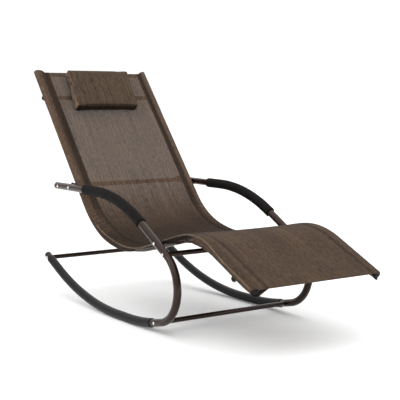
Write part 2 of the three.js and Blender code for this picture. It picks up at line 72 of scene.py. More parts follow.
class Side(Enum):
    """The sitter's right, towards -X, and left, towards +X."""

    RIGHT = -1
    LEFT = 1

    @property
    def label(self) -> str:
        """The word that ends this side's names."""
        return self.name.lower()


class Body(Enum):
    """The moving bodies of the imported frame."""

    FRAME = "frame"
    PILLOW = "head_pillow"


class Drive(Enum):
    """The recess in a fastener's head."""

    SOCKET = 6
    ROUND = 16


@dataclass(frozen=True)
class Leg:
    """One straight or one arc of a route, with the angle that it turns down by."""

    length: float
    turn: float = 0.0


def straight(length: float) -> Leg:
    """A leg that keeps its heading."""
    return Leg(length)


def bend(radius: float, degrees: float) -> Leg:
    """A leg along an arc of that radius."""
    return Leg(abs(radius * math.radians(degrees)), math.radians(degrees))


@dataclass(frozen=True)
class Spot:
    """A point of a route in its side plane, and the heading there."""

    y: float
    z: float
    heading: float

    @property
    def off(self) -> Vector:
        """The way off the route, upwards on the seat."""
        return Vector((0, -math.sin(self.heading), math.cos(self.heading)))

    @property
    def ahead(self) -> Vector:
        """The way along the route."""
        return Vector((0, -math.cos(self.heading), -math.sin(self.heading)))

    def place(self, x: float) -> Vector:
        """The spot in the side plane at x."""
        return Vector((x, self.y, self.z))

    def matrix(self, x: float, scale: float = 1.0) -> Matrix:
        """The frame of a section at x: its x runs across the seat, its y off the route, its z along it."""
        turned = Matrix(((1, 0, 0), self.off, self.ahead)).transposed().to_4x4()
        return Matrix.Translation(self.place(x)) @ turned @ Matrix.Scale(scale, 4)


class Route:
    """A line of straights and arcs in a side plane. Heading zero points to the feet."""

    def __init__(self, heading: float, legs: Sequence[Leg], y: float = 0.0, z: float = 0.0) -> None:
        """Lays the legs end to end.

        Args:
            heading: Heading at the start, in radians.
            legs: The straights and arcs in order.
            y: Where the route starts.
            z: Where the route starts.
        """
        self.heading = heading
        self.legs = list(legs)
        self.start = (y, z)
        self.length = sum(leg.length for leg in legs)

    def at(self, distance: float) -> Spot:
        """The spot that far along.

        Args:
            distance: Distance from the start. Past either end the route runs on straight.

        Returns:
            The spot.
        """
        (y, z), heading, left = self.start, self.heading, distance
        for index, leg in enumerate(self.legs):
            last = index == len(self.legs) - 1
            run = left if last or left < leg.length else leg.length
            if leg.turn and (0 < run <= leg.length):
                radius = leg.length / leg.turn
                turned = heading + run / radius
                y -= radius * (math.sin(turned) - math.sin(heading))
                z += radius * (math.cos(turned) - math.cos(heading))
                heading = turned
            else:
                y -= math.cos(heading) * run
                z -= math.sin(heading) * run
            left -= run
            if left <= 0:
                break
        return Spot(y, z, heading)

    def through(self, distance: float, y: float, z: float) -> "Route":
        """The same route, moved so that its spot at a distance lies at a place."""
        spot = self.at(distance)
        return Route(self.heading, self.legs, self.start[0] + y - spot.y, self.start[1] + z - spot.z)

    def nearest(self, y: float, z: float, pitch: float = 0.002) -> Spot:
        """The spot nearest to a place, out of spots at a pitch."""
        spots = [self.at(step * pitch) for step in range(int(self.length / pitch))]
        return min(spots, key=lambda spot: (spot.y - y) ** 2 + (spot.z - z) ** 2)

    def stops(self, start: float, end: float, pitch: float = 0.2, arc_step: float = 2.0) -> list[float]:
        """Distances to put sections at, close together on arcs and far apart on straights.

        Args:
            start: First distance.
            end: Last distance.
            pitch: Longest step.
            arc_step: Longest turn between two sections, in degrees.

        Returns:
            The distances in order.
        """
        found, reached = [start], 0.0
        for leg in self.legs:
            low, high = max(start, reached), min(end, reached + leg.length)
            if high > low:
                turned = abs(leg.turn) * (high - low) / leg.length
                steps = max(math.ceil((high - low) / pitch), math.ceil(turned / math.radians(arc_step)), 1)
                found += [low + (high - low) * step / steps for step in range(1, steps + 1)]
            reached += leg.length
        return found if found[-1] >= end - 1e-6 else [*found, end]


def grow(bm: BMesh, ring: list[BMEdge], here: Matrix, there: Matrix) -> list[BMEdge]:
    """Extrudes a ring of edges from one section frame to the next.

    Args:
        bm: The mesh.
        ring: The edges to extrude, which lie at here.
        here: Frame that they lie in.
        there: Frame that the new ring goes to.

    Returns:
        The new ring.
    """
    made = bmesh.ops.extrude_edge_only(bm, edges=ring)["geom"]
    verts = {item for item in made if isinstance(item, BMVert)}
    bmesh.ops.transform(bm, matrix=there @ here.inverted(), verts=list(verts))
    return [item for item in made if isinstance(item, BMEdge) and set(item.verts) <= verts]


def circle(bm: BMesh, frame: Matrix, segments: int) -> list[BMEdge]:
    """A ring of edges round a unit circle in a frame.

    Args:
        bm: The mesh.
        frame: Section frame, scaled by the radius.
        segments: Number of edges.

    Returns:
        The ring.
    """
    made = bmesh.ops.create_circle(bm, segments=segments, radius=1.0, matrix=frame)["verts"]
    inside = set(made)
    return [edge for edge in bm.edges if set(edge.verts) <= inside]


def line(bm: BMesh, points: Iterable[Sequence[float]], closed: bool = True) -> list[BMEdge]:
    """Edges through points.

    Args:
        bm: The mesh.
        points: The points in order.
        closed: Whether the last point leads back to the first.

    Returns:
        The edges.
    """
    verts = [bm.verts.new(point) for point in points]
    ends = [*verts[1:], verts[0]] if closed else verts[1:]
    return [bm.edges.new(pair) for pair in zip(verts, ends)]


def sweep(bm: BMesh, ring: list[BMEdge], frames: Sequence[Matrix]) -> list[BMEdge]:
    """Carries a ring of edges through section frames.

    Args:
        bm: The mesh.
        ring: The edges, which lie in the first frame.
        frames: The section frames.

    Returns:
        The ring in the last frame.
    """
    for here, there in zip(frames, frames[1:]):
        ring = grow(bm, ring, here, there)
    return ring


def cap(bm: BMesh, *rings: list[BMEdge]) -> None:
    """Closes rings of edges with a face each."""
    for ring in rings:
        bmesh.ops.contextual_create(bm, geom=ring)


def shifts(width: float, steps: int) -> list[Matrix]:
    """Frames that step evenly across the seat, over a width."""
    return [Matrix.Translation((width * step / steps, 0, 0)) for step in range(steps + 1)]


def loft(bm: BMesh, frames: Sequence[Matrix], segments: int = 32, closed: bool = False) -> None:
    """Carries a circle through section frames and closes the ends.

    Args:
        bm: The mesh.
        frames: Section frames, each scaled by its radius.
        segments: Edges round the circle.
        closed: Whether the last section joins the first, as on a piece with a bore.
    """
    first = circle(bm, frames[0], segments)
    last = sweep(bm, first, frames)
    if closed:
        bmesh.ops.bridge_loops(bm, edges=[*first, *last])
    else:
        cap(bm, first, last)


def spun(bm: BMesh, profile: Sequence[Pair], frame: Matrix, steps: int = 32) -> list[BMVert]:
    """Turns a profile of (radius, height) a full turn round a frame's z axis.

    Args:
        bm: The mesh.
        profile: Points from the axis back to the axis.
        frame: Where the axis lies.
        steps: Facets round the turn.

    Returns:
        The verts of the turned piece.
    """
    verts = [bm.verts.new((radius, 0, height)) for radius, height in profile]
    edges = [bm.edges.new(pair) for pair in zip(verts, verts[1:])]
    before = set(bm.verts) - set(verts)
    bmesh.ops.spin(bm, geom=[*verts, *edges], axis=(0, 0, 1), cent=(0, 0, 0),
                   angle=math.tau, steps=steps, use_merge=True)
    made = [vert for vert in bm.verts if vert not in before]
    bmesh.ops.remove_doubles(bm, verts=made, dist=1e-6)
    made = [vert for vert in bm.verts if vert not in before]
    bmesh.ops.transform(bm, matrix=frame, verts=made)
    return made


def aimed(point: Vector, direction: Vector) -> Matrix:
    """A frame at a point whose z axis runs along a direction."""
    return Matrix.Translation(point) @ direction.to_track_quat("Z", "Y").to_matrix().to_4x4()


def rounded_end(radius: float, edge: float, steps: int) -> list[Pair]:
    """Radii of a rounded end's sections and how far each stands back, from its face outwards."""
    angles = [math.pi / 2 * step / steps for step in range(steps + 1)]
    return [(radius - edge * (1 - math.sin(angle)), edge * (1 - math.cos(angle))) for angle in angles]


def round_ended(start: float, end: float, radius: float, edge: float, steps: int,
                stops: Sequence[float] = ()) -> list[Pair]:
    """Sections of a round piece with rounded ends.

    Args:
        start: Where it starts along its line.
        end: Where it ends.
        radius: Its radius.
        edge: Radius of the rounding.
        steps: Sections in each rounding.
        stops: Places of full sections between the ends.

    Returns:
        Pairs of place and radius.
    """
    caps = rounded_end(radius, edge, steps)
    return [*((start + back, size) for size, back in caps), *((stop, radius) for stop in stops),
            *((end - back, size) for size, back in reversed(caps))]


def arc(centre: Pair, radius: float, start: float, turn: float, steps: int) -> list[Pair]:
    """Points along an arc that starts at an angle and runs through a turn, both in degrees."""
    angles = [math.radians(start + turn * step / steps) for step in range(steps + 1)]
    return [(centre[0] + radius * math.cos(angle), centre[1] + radius * math.sin(angle)) for angle in angles]


def span(node: str) -> tuple[Vector, Vector, Vector]:
    """The lowest corner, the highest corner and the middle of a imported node's box."""
    low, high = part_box(node)
    return low, high, (low + high) / 2


def smoothstep(value: float) -> float:
    """Eases a value between zero and one."""
    share = min(max(value, 0.0), 1.0)
    return share * share * (3 - 2 * share)


@dataclass(frozen=True)
class Fade:
    """A stretch over which something eases from none to all."""

    start: float
    run: float

    def at(self, place: float) -> float:
        """The share that is reached at a place."""
        return smoothstep((place - self.start) / self.run)


@dataclass(frozen=True)
class Noise:
    """Scale and detail of a soft noise in a material."""

    scale: float
    detail: float


class Shader:
    """A material's node tree, with short calls to add and link nodes."""

    def __init__(self, name: str) -> None:
        """Starts an empty material of that name."""
        self.material = bpy.data.materials.new(name)
        self.material.use_nodes = True
        self.tree = self.material.node_tree
        self.tree.nodes.clear()

    def add(self, kind: str, inputs: dict | None = None, **settings: object) -> bpy.types.Node:
        """Adds a node.

        Args:
            kind: Blender's name of the node type.
            inputs: Values, or sockets to link from, by input name or number.
            settings: Properties of the node.

        Returns:
            The node.
        """
        node = self.tree.nodes.new(kind)
        for key, value in settings.items():
            setattr(node, key, value)
        for key, value in (inputs or {}).items():
            if isinstance(value, bpy.types.NodeSocket):
                self.tree.links.new(value, node.inputs[key])
            else:
                node.inputs[key].default_value = value
        return node

    def math(self, operation: str, *values: object) -> bpy.types.NodeSocket:
        """The result of a maths node over values or sockets."""
        return self.add("ShaderNodeMath", dict(enumerate(values)), operation=operation).outputs[0]

    def mapped(self, source: str, scale: tuple[float, float, float]) -> bpy.types.NodeSocket:
        """Coordinates of a kind, scaled along each axis."""
        place = self.add("ShaderNodeTexCoord").outputs[source]
        return self.add("ShaderNodeMapping", {"Vector": place, "Scale": scale}).outputs[0]

    def level(self, value: bpy.types.NodeSocket, base: float, gain: float) -> bpy.types.NodeSocket:
        """A base and a value times a gain."""
        return self.math("ADD", base, self.math("MULTIPLY", value, gain))

    def blend(self, *parts: tuple[bpy.types.NodeSocket, float]) -> bpy.types.NodeSocket:
        """The sum of values, each times its weight."""
        total, *others = [self.math("MULTIPLY", value, weight) for value, weight in parts]
        for other in others:
            total = self.math("ADD", total, other)
        return total

    def attribute(self, name: str) -> bpy.types.NodeSocket:
        """A number that the piece's own points carry."""
        return self.add("ShaderNodeAttribute", attribute_name=name).outputs["Fac"]

    def grain(self, place: bpy.types.NodeSocket, soft: Noise) -> bpy.types.NodeSocket:
        """A soft noise from zero to one over coordinates."""
        inputs = {"Vector": place, "Scale": soft.scale, "Detail": soft.detail}
        return self.add("ShaderNodeTexNoise", inputs).outputs[0]

    def ramp(self, value: bpy.types.NodeSocket,
             stops: Iterable[tuple[float, Colour]]) -> bpy.types.NodeSocket:
        """Colours along a value.

        Args:
            value: The socket that picks the colour.
            stops: Pairs of position and colour.

        Returns:
            The colour socket.
        """
        node = self.add("ShaderNodeValToRGB", {0: value})
        elements = node.color_ramp.elements
        stops = list(stops)
        while len(elements) < len(stops):
            elements.new(0.5)
        for element, (position, colour) in zip(elements, stops):
            element.position = position
            element.color = (*colour, 1.0)
        return node.outputs[0]

    def bump(self, height: bpy.types.NodeSocket, strength: float, depth: float) -> bpy.types.NodeSocket:
        """A bumped normal from a height."""
        inputs = {"Height": height, "Strength": strength, "Distance": depth}
        return self.add("ShaderNodeBump", inputs).outputs[0]

    def finish(self, **inputs: object) -> bpy.types.Material:
        """Puts the shader on the surface.

        Args:
            inputs: Values or sockets of the shader, by input name with underscores for spaces.

        Returns:
            The material.
        """
        named = {key.replace("_", " "): value for key, value in inputs.items()}
        shader = self.add("ShaderNodeBsdfPrincipled", named)
        self.add("ShaderNodeOutputMaterial", {"Surface": shader.outputs[0]})
        return self.material


@dataclass(frozen=True)
class Finish:
    """A solid finish, whose colour and gloss drift over the piece under a fine relief.

    The colour runs from dark to light between two levels of the drift, and the relief may tint it.
    The roughness is a base and what the drift adds to it. The bump is the relief's strength and
    depth. Foam has cells in place of a relief, which its gloss follows too.
    """

    name: str
    slot: str
    dark: Colour
    light: Colour
    drift: Noise
    levels: Pair
    rough: Pair
    bump: Pair
    relief: Noise | None = None
    relief_tint: float = 0.0
    cells: float = 0.0
    metallic: float = 0.0
    specular: float = 0.5
    coat: float = 0.0
    coat_roughness: float = 0.03
    sheen: float = 0.0

    def make(self) -> bpy.types.Material:
        """Builds the material."""
        shader = Shader(self.name)
        place = shader.mapped("Object", (1, 1, 1))
        drift = shader.grain(place, self.drift)
        height = gloss = tone = drift
        if self.cells:
            node = shader.add("ShaderNodeTexVoronoi", {"Vector": place, "Scale": self.cells})
            height = gloss = node.outputs["Distance"]
        elif self.relief:
            height = shader.grain(place, self.relief)
        if self.relief_tint:
            tone = shader.blend((height, self.relief_tint), (drift, 1 - self.relief_tint))
        base, gain = self.rough
        return shader.finish(Base_Color=shader.ramp(tone, zip(self.levels, (self.dark, self.light))),
                             Roughness=shader.level(gloss, base, gain) if gain else base,
                             Normal=shader.bump(height, *self.bump), Metallic=self.metallic,
                             Specular_IOR_Level=self.specular, Sheen_Weight=self.sheen,
                             Coat_Weight=self.coat, Coat_Roughness=self.coat_roughness)


# Satin bronze powder coat on the steel tubes, with fine flakes in it.
BRONZE_PAINT = Finish("bronze_paint", "frame", (0.018, 0.0098, 0.0072), (0.039, 0.0220, 0.0166),
                      drift=Noise(14.0, 3), levels=(0.3, 0.7), rough=(0.15, 0.14), bump=(0.1, 0.0002),
                      relief=Noise(2600.0, 1), relief_tint=0.6, metallic=0.5, specular=0.18,
                      coat=0.18, coat_roughness=0.08)

# Dark rubber of the sleeves on the floor tubes, mottled, grained and scuffed.
TREAD_RUBBER = Finish("tread_rubber", "rubber", (0.0035, 0.0032, 0.0034), (0.0080, 0.0074, 0.0078),
                      drift=Noise(60.0, 5), levels=(0.35, 0.75), rough=(0.28, 0.2), bump=(0.25, 0.0002),
                      relief=Noise(1500.0, 2), specular=0.16)

# Soft black foam of the armrests, with no gloss.
GRIP_FOAM = Finish("grip_foam", "foam", (0.0045, 0.0036, 0.0034), (0.0100, 0.0080, 0.0078),
                   drift=Noise(30.0, 4), levels=(0.3, 0.8), rough=(0.72, 0.25), bump=(0.3, 0.0004),
                   cells=900.0, specular=0.12)

# Glossy black moulded plastic of the plugs and spacers.
PLUG_PLASTIC = Finish("plug_plastic", "plug", (0.004, 0.004, 0.0042), (0.009, 0.0088, 0.0088),
                      drift=Noise(120.0, 3), levels=(0.3, 0.8), rough=(0.2, 0.15), bump=(0.1, 0.0001),
                      relief=Noise(1800.0, 1), specular=0.1)

# Bright zinc plate on the bolts and screws, a little uneven.
BRIGHT_ZINC = Finish("bright_zinc", "zinc", (0.5, 0.5, 0.51), (0.78, 0.78, 0.77), drift=Noise(400.0, 4),
                     levels=(0.35, 0.65), rough=(0.14, 0.2), bump=(0.08, 0.0001), metallic=1.0)

# Black hook and loop fastening with a short matted nap.
STRIP_NAP = Finish("strip_nap", "strip", (0.004, 0.004, 0.004), (0.02, 0.02, 0.021), drift=Noise(1400.0, 4),
                   levels=(0.35, 0.7), rough=(0.95, 0.0), bump=(0.6, 0.0006), sheen=0.4)

# Brown twisted thread of the seams, with a soft shine.
SEWING_THREAD = Finish("sewing_thread", "mesh", (0.05, 0.036, 0.026), (0.12, 0.09, 0.065),
                       drift=Noise(900.0, 2), levels=(0.35, 0.7), rough=(0.6, 0.0), bump=(0.3, 0.0002))


@dataclass(frozen=True)
class WovenCloth:
    """Woven mesh of coated yarn, with lengthwise streaks of golden and grey.

    The streaks have a width and a reach along the cloth, and each yarn shows as dashes. A cloth with
    gaps lets the light through between its yarns, where its own attribute says that it is bare.
    """

    name: str
    slot: str
    dark: Colour
    grey: Colour
    golden: Colour
    cover: float = 1.0
    by_map: bool = False
    shaded: bool = False
    yarn: float = 0.0016
    streak: float = 0.0042
    reach: float = 0.45
    dash: float = 0.022
    dash_width: float = 1 / 0.6
    cloud: Noise = Noise(9.0, 3)
    streak_weight: float = 0.42
    dash_weight: float = 0.46
    cloud_weight: float = 0.12
    levels: tuple[float, float, float] = (0.36, 0.5, 0.64)
    rough: Pair = (0.62, 0.2)
    bump: Pair = (0.35, 0.0004)
    specular: float = 0.05
    gap_margin: float = 0.09
    gap_swing: float = 0.22

    def make(self) -> bpy.types.Material:
        """Builds the material, with a relief of yarns over and under each other."""
        shader = Shader(self.name)
        source = "UV" if self.by_map else "Object"
        wide, long, short = 1 / self.streak, 1 / self.reach, 1 / self.dash
        yarns = 1 / (self.dash_width * self.yarn)
        place = shader.mapped(source, (1, 1, 1))
        streaks = shader.grain(shader.mapped(source, (wide, long, long)), Noise(1.0, 2))
        dashes = shader.grain(shader.mapped(source, (yarns, short, short)), Noise(1.0, 1))
        tone = shader.blend((streaks, self.streak_weight), (dashes, self.dash_weight),
                            (shader.grain(place, self.cloud), self.cloud_weight))
        colour = shader.ramp(tone, zip(self.levels, (self.dark, self.grey, self.golden)))
        # A shaded cloth's colour is scaled by the painted light and shade that its points carry.
        if self.shaded:
            inputs = {0: colour, "Scale": shader.attribute("shade")}
            colour = shader.add("ShaderNodeVectorMath", inputs, operation="SCALE").outputs[0]
        axes = shader.add("ShaderNodeSeparateXYZ", {0: place}).outputs
        turn = math.tau / (2 * self.yarn)
        waves = [shader.math("SINE", shader.math("MULTIPLY", axes[axis], turn)) for axis in (0, 1)]
        weave = shader.math("MULTIPLY", *waves)
        crown = shader.math("ABSOLUTE", weave)
        alpha = 1.0
        if self.cover < 1:
            gaps = shader.level(crown, 1 + self.gap_margin - self.cover, -self.gap_swing)
            alpha = shader.level(shader.math("MULTIPLY", gaps, shader.attribute("bare")), 1.0, -1.0)
        return shader.finish(Base_Color=colour, Roughness=shader.level(crown, *self.rough), Alpha=alpha,
                             Normal=shader.bump(weave, *self.bump), Specular_IOR_Level=self.specular)


# The cloths: the open mesh, and closer weaves of it for what is sewn or bound. The sling and pillow cloths
# are shaded: their colour takes painted light and shade from their points.
SLING_CLOTH = WovenCloth("sling_cloth", "mesh", (0.048, 0.031, 0.022), (0.091, 0.060, 0.044),
                         (0.152, 0.100, 0.058), cover=0.79, by_map=True, shaded=True)
PILLOW_CLOTH = WovenCloth("pillow_cloth", "pillow", (0.034, 0.022, 0.0155), (0.068, 0.046, 0.033),
                          (0.112, 0.075, 0.045), shaded=True)
FLAP_CLOTH = WovenCloth("flap_cloth", "pillow", (0.032, 0.021, 0.0145), (0.062, 0.042, 0.030),
                        (0.100, 0.067, 0.040))
EDGE_CLOTH = WovenCloth("edge_cloth", "mesh", (0.040, 0.028, 0.021), (0.078, 0.054, 0.040),
                        (0.120, 0.083, 0.052))
BINDING_CLOTH = WovenCloth("binding_cloth", "mesh", (0.066, 0.048, 0.035), (0.104, 0.076, 0.056),
                           (0.142, 0.105, 0.072))
# The facing inside the pockets' openings is painted near-black, as the shade inside them.
SHADE_FACING_CLOTH = WovenCloth("facing_cloth", "mesh", (0.006, 0.005, 0.004), (0.010, 0.008, 0.007),
                          (0.016, 0.012, 0.009))


class Workshop:
    """Makes materials once, and turns meshes into pieces of the chair."""

    def __init__(self) -> None:
        """Starts with no material and no piece made."""
        self.materials: dict[str, bpy.types.Material] = {}
        self.pieces: list[bpy.types.Object] = []

    def material(self, finish: Finish | WovenCloth) -> bpy.types.Material:
        """The material of a finish, made the first time that it is asked for."""
        if finish.name not in self.materials:
            self.materials[finish.name] = finish.make()
        return self.materials[finish.name]

    def piece(self, name: str, bm: BMesh, finish: Finish | WovenCloth, replaces: Iterable[str] = (),
              body: Body = Body.FRAME, sharp: float = 40.0, turned: bool = True) -> bpy.types.Object:
        """Turns a mesh into a piece that rides on a body.

        Args:
            name: Name of the piece.
            bm: Its mesh, which is freed.
            finish: Finish that it wears.
            replaces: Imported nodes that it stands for.
            body: Body that it rides on.
            sharp: Angle in degrees past which an edge stays crisp.
            turned: Whether the faces still have to be turned outwards.

        Returns:
            The piece's object.
        """
        if turned:
            bmesh.ops.recalc_face_normals(bm, faces=bm.faces[:])
        mesh = bpy.data.meshes.new(name)
        bm.to_mesh(mesh)
        bm.free()
        mesh.shade_smooth()
        mesh.set_sharp_from_angle(angle=math.radians(sharp))
        mesh.materials.append(self.material(finish))
        made = bpy.data.objects.new(name, mesh)
        bpy.context.scene.collection.objects.link(made)
        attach(made, body.value)
        if replaces:
            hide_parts(*replaces)
        self.pieces.append(made)
        log.info("%s: %d faces on %s", name, len(mesh.polygons), body.value)
        return made


@dataclass(frozen=True)
class Layout:
    """The two routes of the chair and the places along them that its pieces share."""

    arm_half_width: float = 0.305
    arm_rear: Leg = straight(0.340)
    arm_curve: Leg = bend(0.692, 29.0)
    strut: Leg = straight(0.2075)
    foot_curve: Leg = bend(0.135, 137.6)
    rocker_radius: float = 1.273
    rocker_rear_turn: float = 24.5
    rest_flat: float = 0.250
    tail: Leg = straight(0.111)
    sleeve_radius: float = 0.0175
    sleeve_facet: float = 30.0
    seat_bolt_past_arm: float = 0.1355
    tube_joint_past_bend: float = 0.063
    recline: float = 50.5
    back: Leg = straight(0.699)
    lumbar: Leg = bend(0.361, -36.1)
    seat_dip: Leg = bend(0.621, -28.3)
    seat: Leg = straight(0.231)
    thigh: Leg = bend(0.249, 13.9)
    knee: Leg = bend(0.351, 25.1)
    shin: Leg = straight(0.228)
    seat_bolt_past_seat: float = 0.111
    rail_joint_past_seat: float = 0.078

    @property
    def crossing(self) -> Vector:
        """Where side tube and side rail are bolted together."""
        return span("seat_spacer_right")[2]

    @property
    def rail_half_width(self) -> float:
        """From the middle of the seat to the centre of a side rail."""
        return span("back_rail_left")[2].x

    @property
    def strut_start(self) -> float:
        """Distance along the side route at which the strut starts."""
        return self.arm_rear.length + self.arm_curve.length

    @property
    def tube_joint(self) -> float:
        """Distance along the side route of the joint between arm tube and floor tube."""
        return self.strut_start + self.strut.length + self.foot_curve.length + self.tube_joint_past_bend

    @property
    def seat_start(self) -> float:
        """Distance along the rail route at which the flat of the seat starts."""
        return self.back.length + self.lumbar.length + self.seat_dip.length

    @property
    def knee_start(self) -> float:
        """Distance along the rail route at which the seat ends and the thigh bend starts."""
        return self.seat_start + self.seat.length

    @property
    def rail_joint(self) -> float:
        """Distance along the rail route of the joint between back rail and leg rail."""
        return self.seat_start + self.rail_joint_past_seat

    def side(self) -> Route:
        """The side tube's route from the rear end of the arm round to the rear end of the floor tube.

        The long floor curve is eased into a short level stretch at the height of the sleeve's round.

        Returns:
            The route.
        """
        front_turn = 180 - math.degrees(self.arm_curve.turn + self.foot_curve.turn)
        half_flat = math.asin(self.rest_flat / 2 / self.rocker_radius)
        drop = self.rocker_radius * (1 - math.cos(half_flat))
        facet_radius = self.sleeve_radius * math.cos(math.radians(self.sleeve_facet / 2))
        lift = drop + self.sleeve_radius - facet_radius * math.cos(half_flat)
        turns = (front_turn, self.rocker_rear_turn)
        radii = [self.rocker_radius - lift / (1 - math.cos(math.radians(turn))) for turn in turns]
        flat = sum((self.rocker_radius - radius) * math.sin(math.radians(turn))
                   for radius, turn in zip(radii, turns))
        legs = (self.arm_rear, self.arm_curve, self.strut, self.foot_curve, bend(radii[0], front_turn),
                straight(flat), bend(radii[1], self.rocker_rear_turn), self.tail)
        crossing = self.crossing
        return Route(0.0, legs).through(self.strut_start + self.seat_bolt_past_arm, crossing.y, crossing.z)

    def rail(self) -> Route:
        """The side rail's route from its head end to its foot end."""
        legs = (self.back, self.lumbar, self.seat_dip, self.seat, self.thigh, self.knee, self.shin)
        route = Route(math.radians(self.recline), legs)
        crossing = self.crossing
        return route.through(self.seat_start + self.seat_bolt_past_seat, crossing.y, crossing.z)


def tube(route: Route, x: float, start: float, end: float, radius: float, edge: float = 0.0006,
         bore: float = 0.0, facets: int = 32) -> BMesh:
    """A round piece along a route with rounded ends, closed or with a bore.

    Args:
        route: Its centre line.
        x: Where it lies across the seat.
        start: Distance at which it starts.
        end: Distance at which it ends.
        radius: Outer radius.
        edge: Rounding of the end edges.
        bore: Inner radius, or none where it is closed.
        facets: Facets round it.

    Returns:
        The mesh.
    """
    margin, steps = (edge * 1.5, 5) if bore else (edge * 2, 3)
    stops = route.stops(start + margin, end - margin)
    sections = round_ended(start, end, radius, edge, steps, stops)
    if bore:
        sections += [(stop, bore) for stop in (end, *reversed(stops), start)]
    bm = bmesh.new()
    loft(bm, [route.at(stop).matrix(x, size) for stop, size in sections], facets, closed=bore > 0)
    return bm


@dataclass
class SideFrame:
    """One side of the frame: arm and floor tube, their covers, the side rail and what joins them."""

    shop: Workshop
    layout: Layout
    side: Side
    tube_radius: float = 0.0145
    swage_radius: float = 0.0130
    swage_reach: float = 0.058
    rail_swage_reach: float = 0.070
    swage_root: float = 0.004
    joint_gap: float = 0.0004
    sleeve_wall: float = 0.0027
    sleeve_gap: float = 0.003
    sleeve_edge: float = 0.0012
    sleeve_facets: int = 64
    rear_bar_inset: float = 0.022
    bar_radius: float = 0.0095
    bar_gap: float = 0.0015
    grip_radius: float = 0.020
    grip_start: float = 0.249
    grip_length: float = 0.452
    grip_edge: float = 0.0048
    grip_facets: int = 40
    grip_gap: float = 0.0002
    plug_crown: float = 0.0045
    bracket_thickness: float = 0.004
    bracket_bevel: float = 0.0008
    bracket_half: float = 0.012
    bracket_corner: float = 0.004
    bracket_lobe: float = 0.0125
    saddle_radius: float = 0.0170
    saddle_bore: float = 0.0147
    saddle_lead: float = 0.094
    saddle_past_knee: float = 0.032
    saddle_start_angle: float = -105.0
    saddle_sweep: float = 90.0
    saddle_steps: int = 12
    saddle_pitch: float = 0.05
    spacer_bevel: float = 0.001
    spacer_waist: float = 0.0012
    bronze: Finish = BRONZE_PAINT
    rubber: Finish = TREAD_RUBBER
    foam: Finish = GRIP_FOAM
    plastic: Finish = PLUG_PLASTIC

    def __post_init__(self) -> None:
        """Works out this side's routes and places."""
        self.sign = self.side.value
        self.x = self.sign * self.layout.arm_half_width
        self.rail_x = self.sign * self.layout.rail_half_width
        self.route = self.layout.side()
        self.rail = self.layout.rail()

    def named(self, piece: str) -> str:
        """The piece's name with this side's word."""
        return f"{piece}_{self.side.label}"

    def build(self) -> None:
        """Makes every piece of this side."""
        self.build_pair(self.route, self.x, self.layout.tube_joint, self.swage_reach,
                        {"arm": "arm_tube", "rocker": "rocker_tube"})
        self.build_covers()
        self.build_pair(self.rail, self.rail_x, self.layout.rail_joint, self.rail_swage_reach,
                        {"back_rail_tube": "back_rail", "leg_rail_tube": "leg_rail"})
        self.build_bracket()
        self.build_saddle()
        self.build_spacer()
        self.build_plugs()

    def build_pair(self, route: Route, x: float, joint: float, reach: float, names: dict[str, str]) -> None:
        """Two tubes end to end, of which the second has a drawn-down end that sits in the first.

        Args:
            route: Centre line of both.
            x: Where they lie across the seat.
            joint: Distance at which they meet.
            reach: How far the drawn-down end runs into the first.
            names: Names of the two pieces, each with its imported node.
        """
        first = tube(route, x, 0.0, joint, self.tube_radius)
        second = tube(route, x, joint + self.joint_gap, route.length, self.tube_radius)
        merge(second, tube(route, x, joint - reach, joint + self.swage_root, self.swage_radius))
        for bm, (name, node) in zip((first, second), names.items()):
            self.shop.piece(self.named(name), bm, self.bronze, [self.named(node)])

    def build_covers(self) -> None:
        """The rubber sleeve on the floor tube, and the foam grip."""
        radius = self.layout.sleeve_radius
        start = self.layout.tube_joint + self.sleeve_gap
        end = self.route.length - self.rear_bar_inset - self.bar_radius - self.bar_gap
        sleeve = tube(self.route, self.x, start, end, radius, self.sleeve_edge, radius - self.sleeve_wall,
                      self.sleeve_facets)
        self.shop.piece(self.named("sleeve"), sleeve, self.rubber, [self.named("rubber_sleeve")])
        grip = tube(self.route, self.x, self.grip_start, self.grip_start + self.grip_length, self.grip_radius,
                    self.grip_edge, self.tube_radius + self.grip_gap, self.grip_facets)
        self.shop.piece(self.named("grip"), grip, self.foam, [self.named("foam_grip")])

    def build_bracket(self) -> None:
        """The plate between the rear of the arm and the lumbar bar, with a lobe round the bar."""
        low, high, middle = span(self.named("arm_bracket"))
        bar = span("lumbar_crossbar")[2]
        arm = span(self.named("arm_plug"))[2]
        corner, lobe, thickness = self.bracket_corner, self.bracket_lobe, self.bracket_thickness
        top = arm.z + self.bracket_half
        bottom = arm.z - self.bracket_half
        foot = math.degrees(math.asin((top - bar.z) / lobe))
        outline = [*arc((low.y + corner, bottom + corner), corner, 180, 90, 3),
                   *arc((high.y - corner, bottom + corner), corner, 270, 90, 3),
                   *arc((high.y - corner, top - corner), corner, 0, 90, 3),
                   *arc((bar.y, bar.z), lobe, foot, 180 - 2 * foot, 14),
                   *arc((low.y, top - corner), corner, 90, 90, 3)]
        bm = bmesh.new()
        face = bm.faces.new([bm.verts.new((middle.x - thickness / 2, y, z)) for y, z in outline])
        grown = bmesh.ops.extrude_face_region(bm, geom=[face])["geom"]
        moved = [item for item in grown if isinstance(item, BMVert)]
        bmesh.ops.translate(bm, verts=moved, vec=(thickness, 0, 0))
        rims = [edge for edge in bm.edges if abs(edge.verts[0].co.x - edge.verts[1].co.x) < thickness / 2]
        bmesh.ops.bevel(bm, geom=rims, offset=self.bracket_bevel, affect="EDGES", segments=2,
                        profile=0.5, material=-1)
        self.shop.piece(self.named("bracket"), bm, self.bronze, [self.named("arm_bracket")])

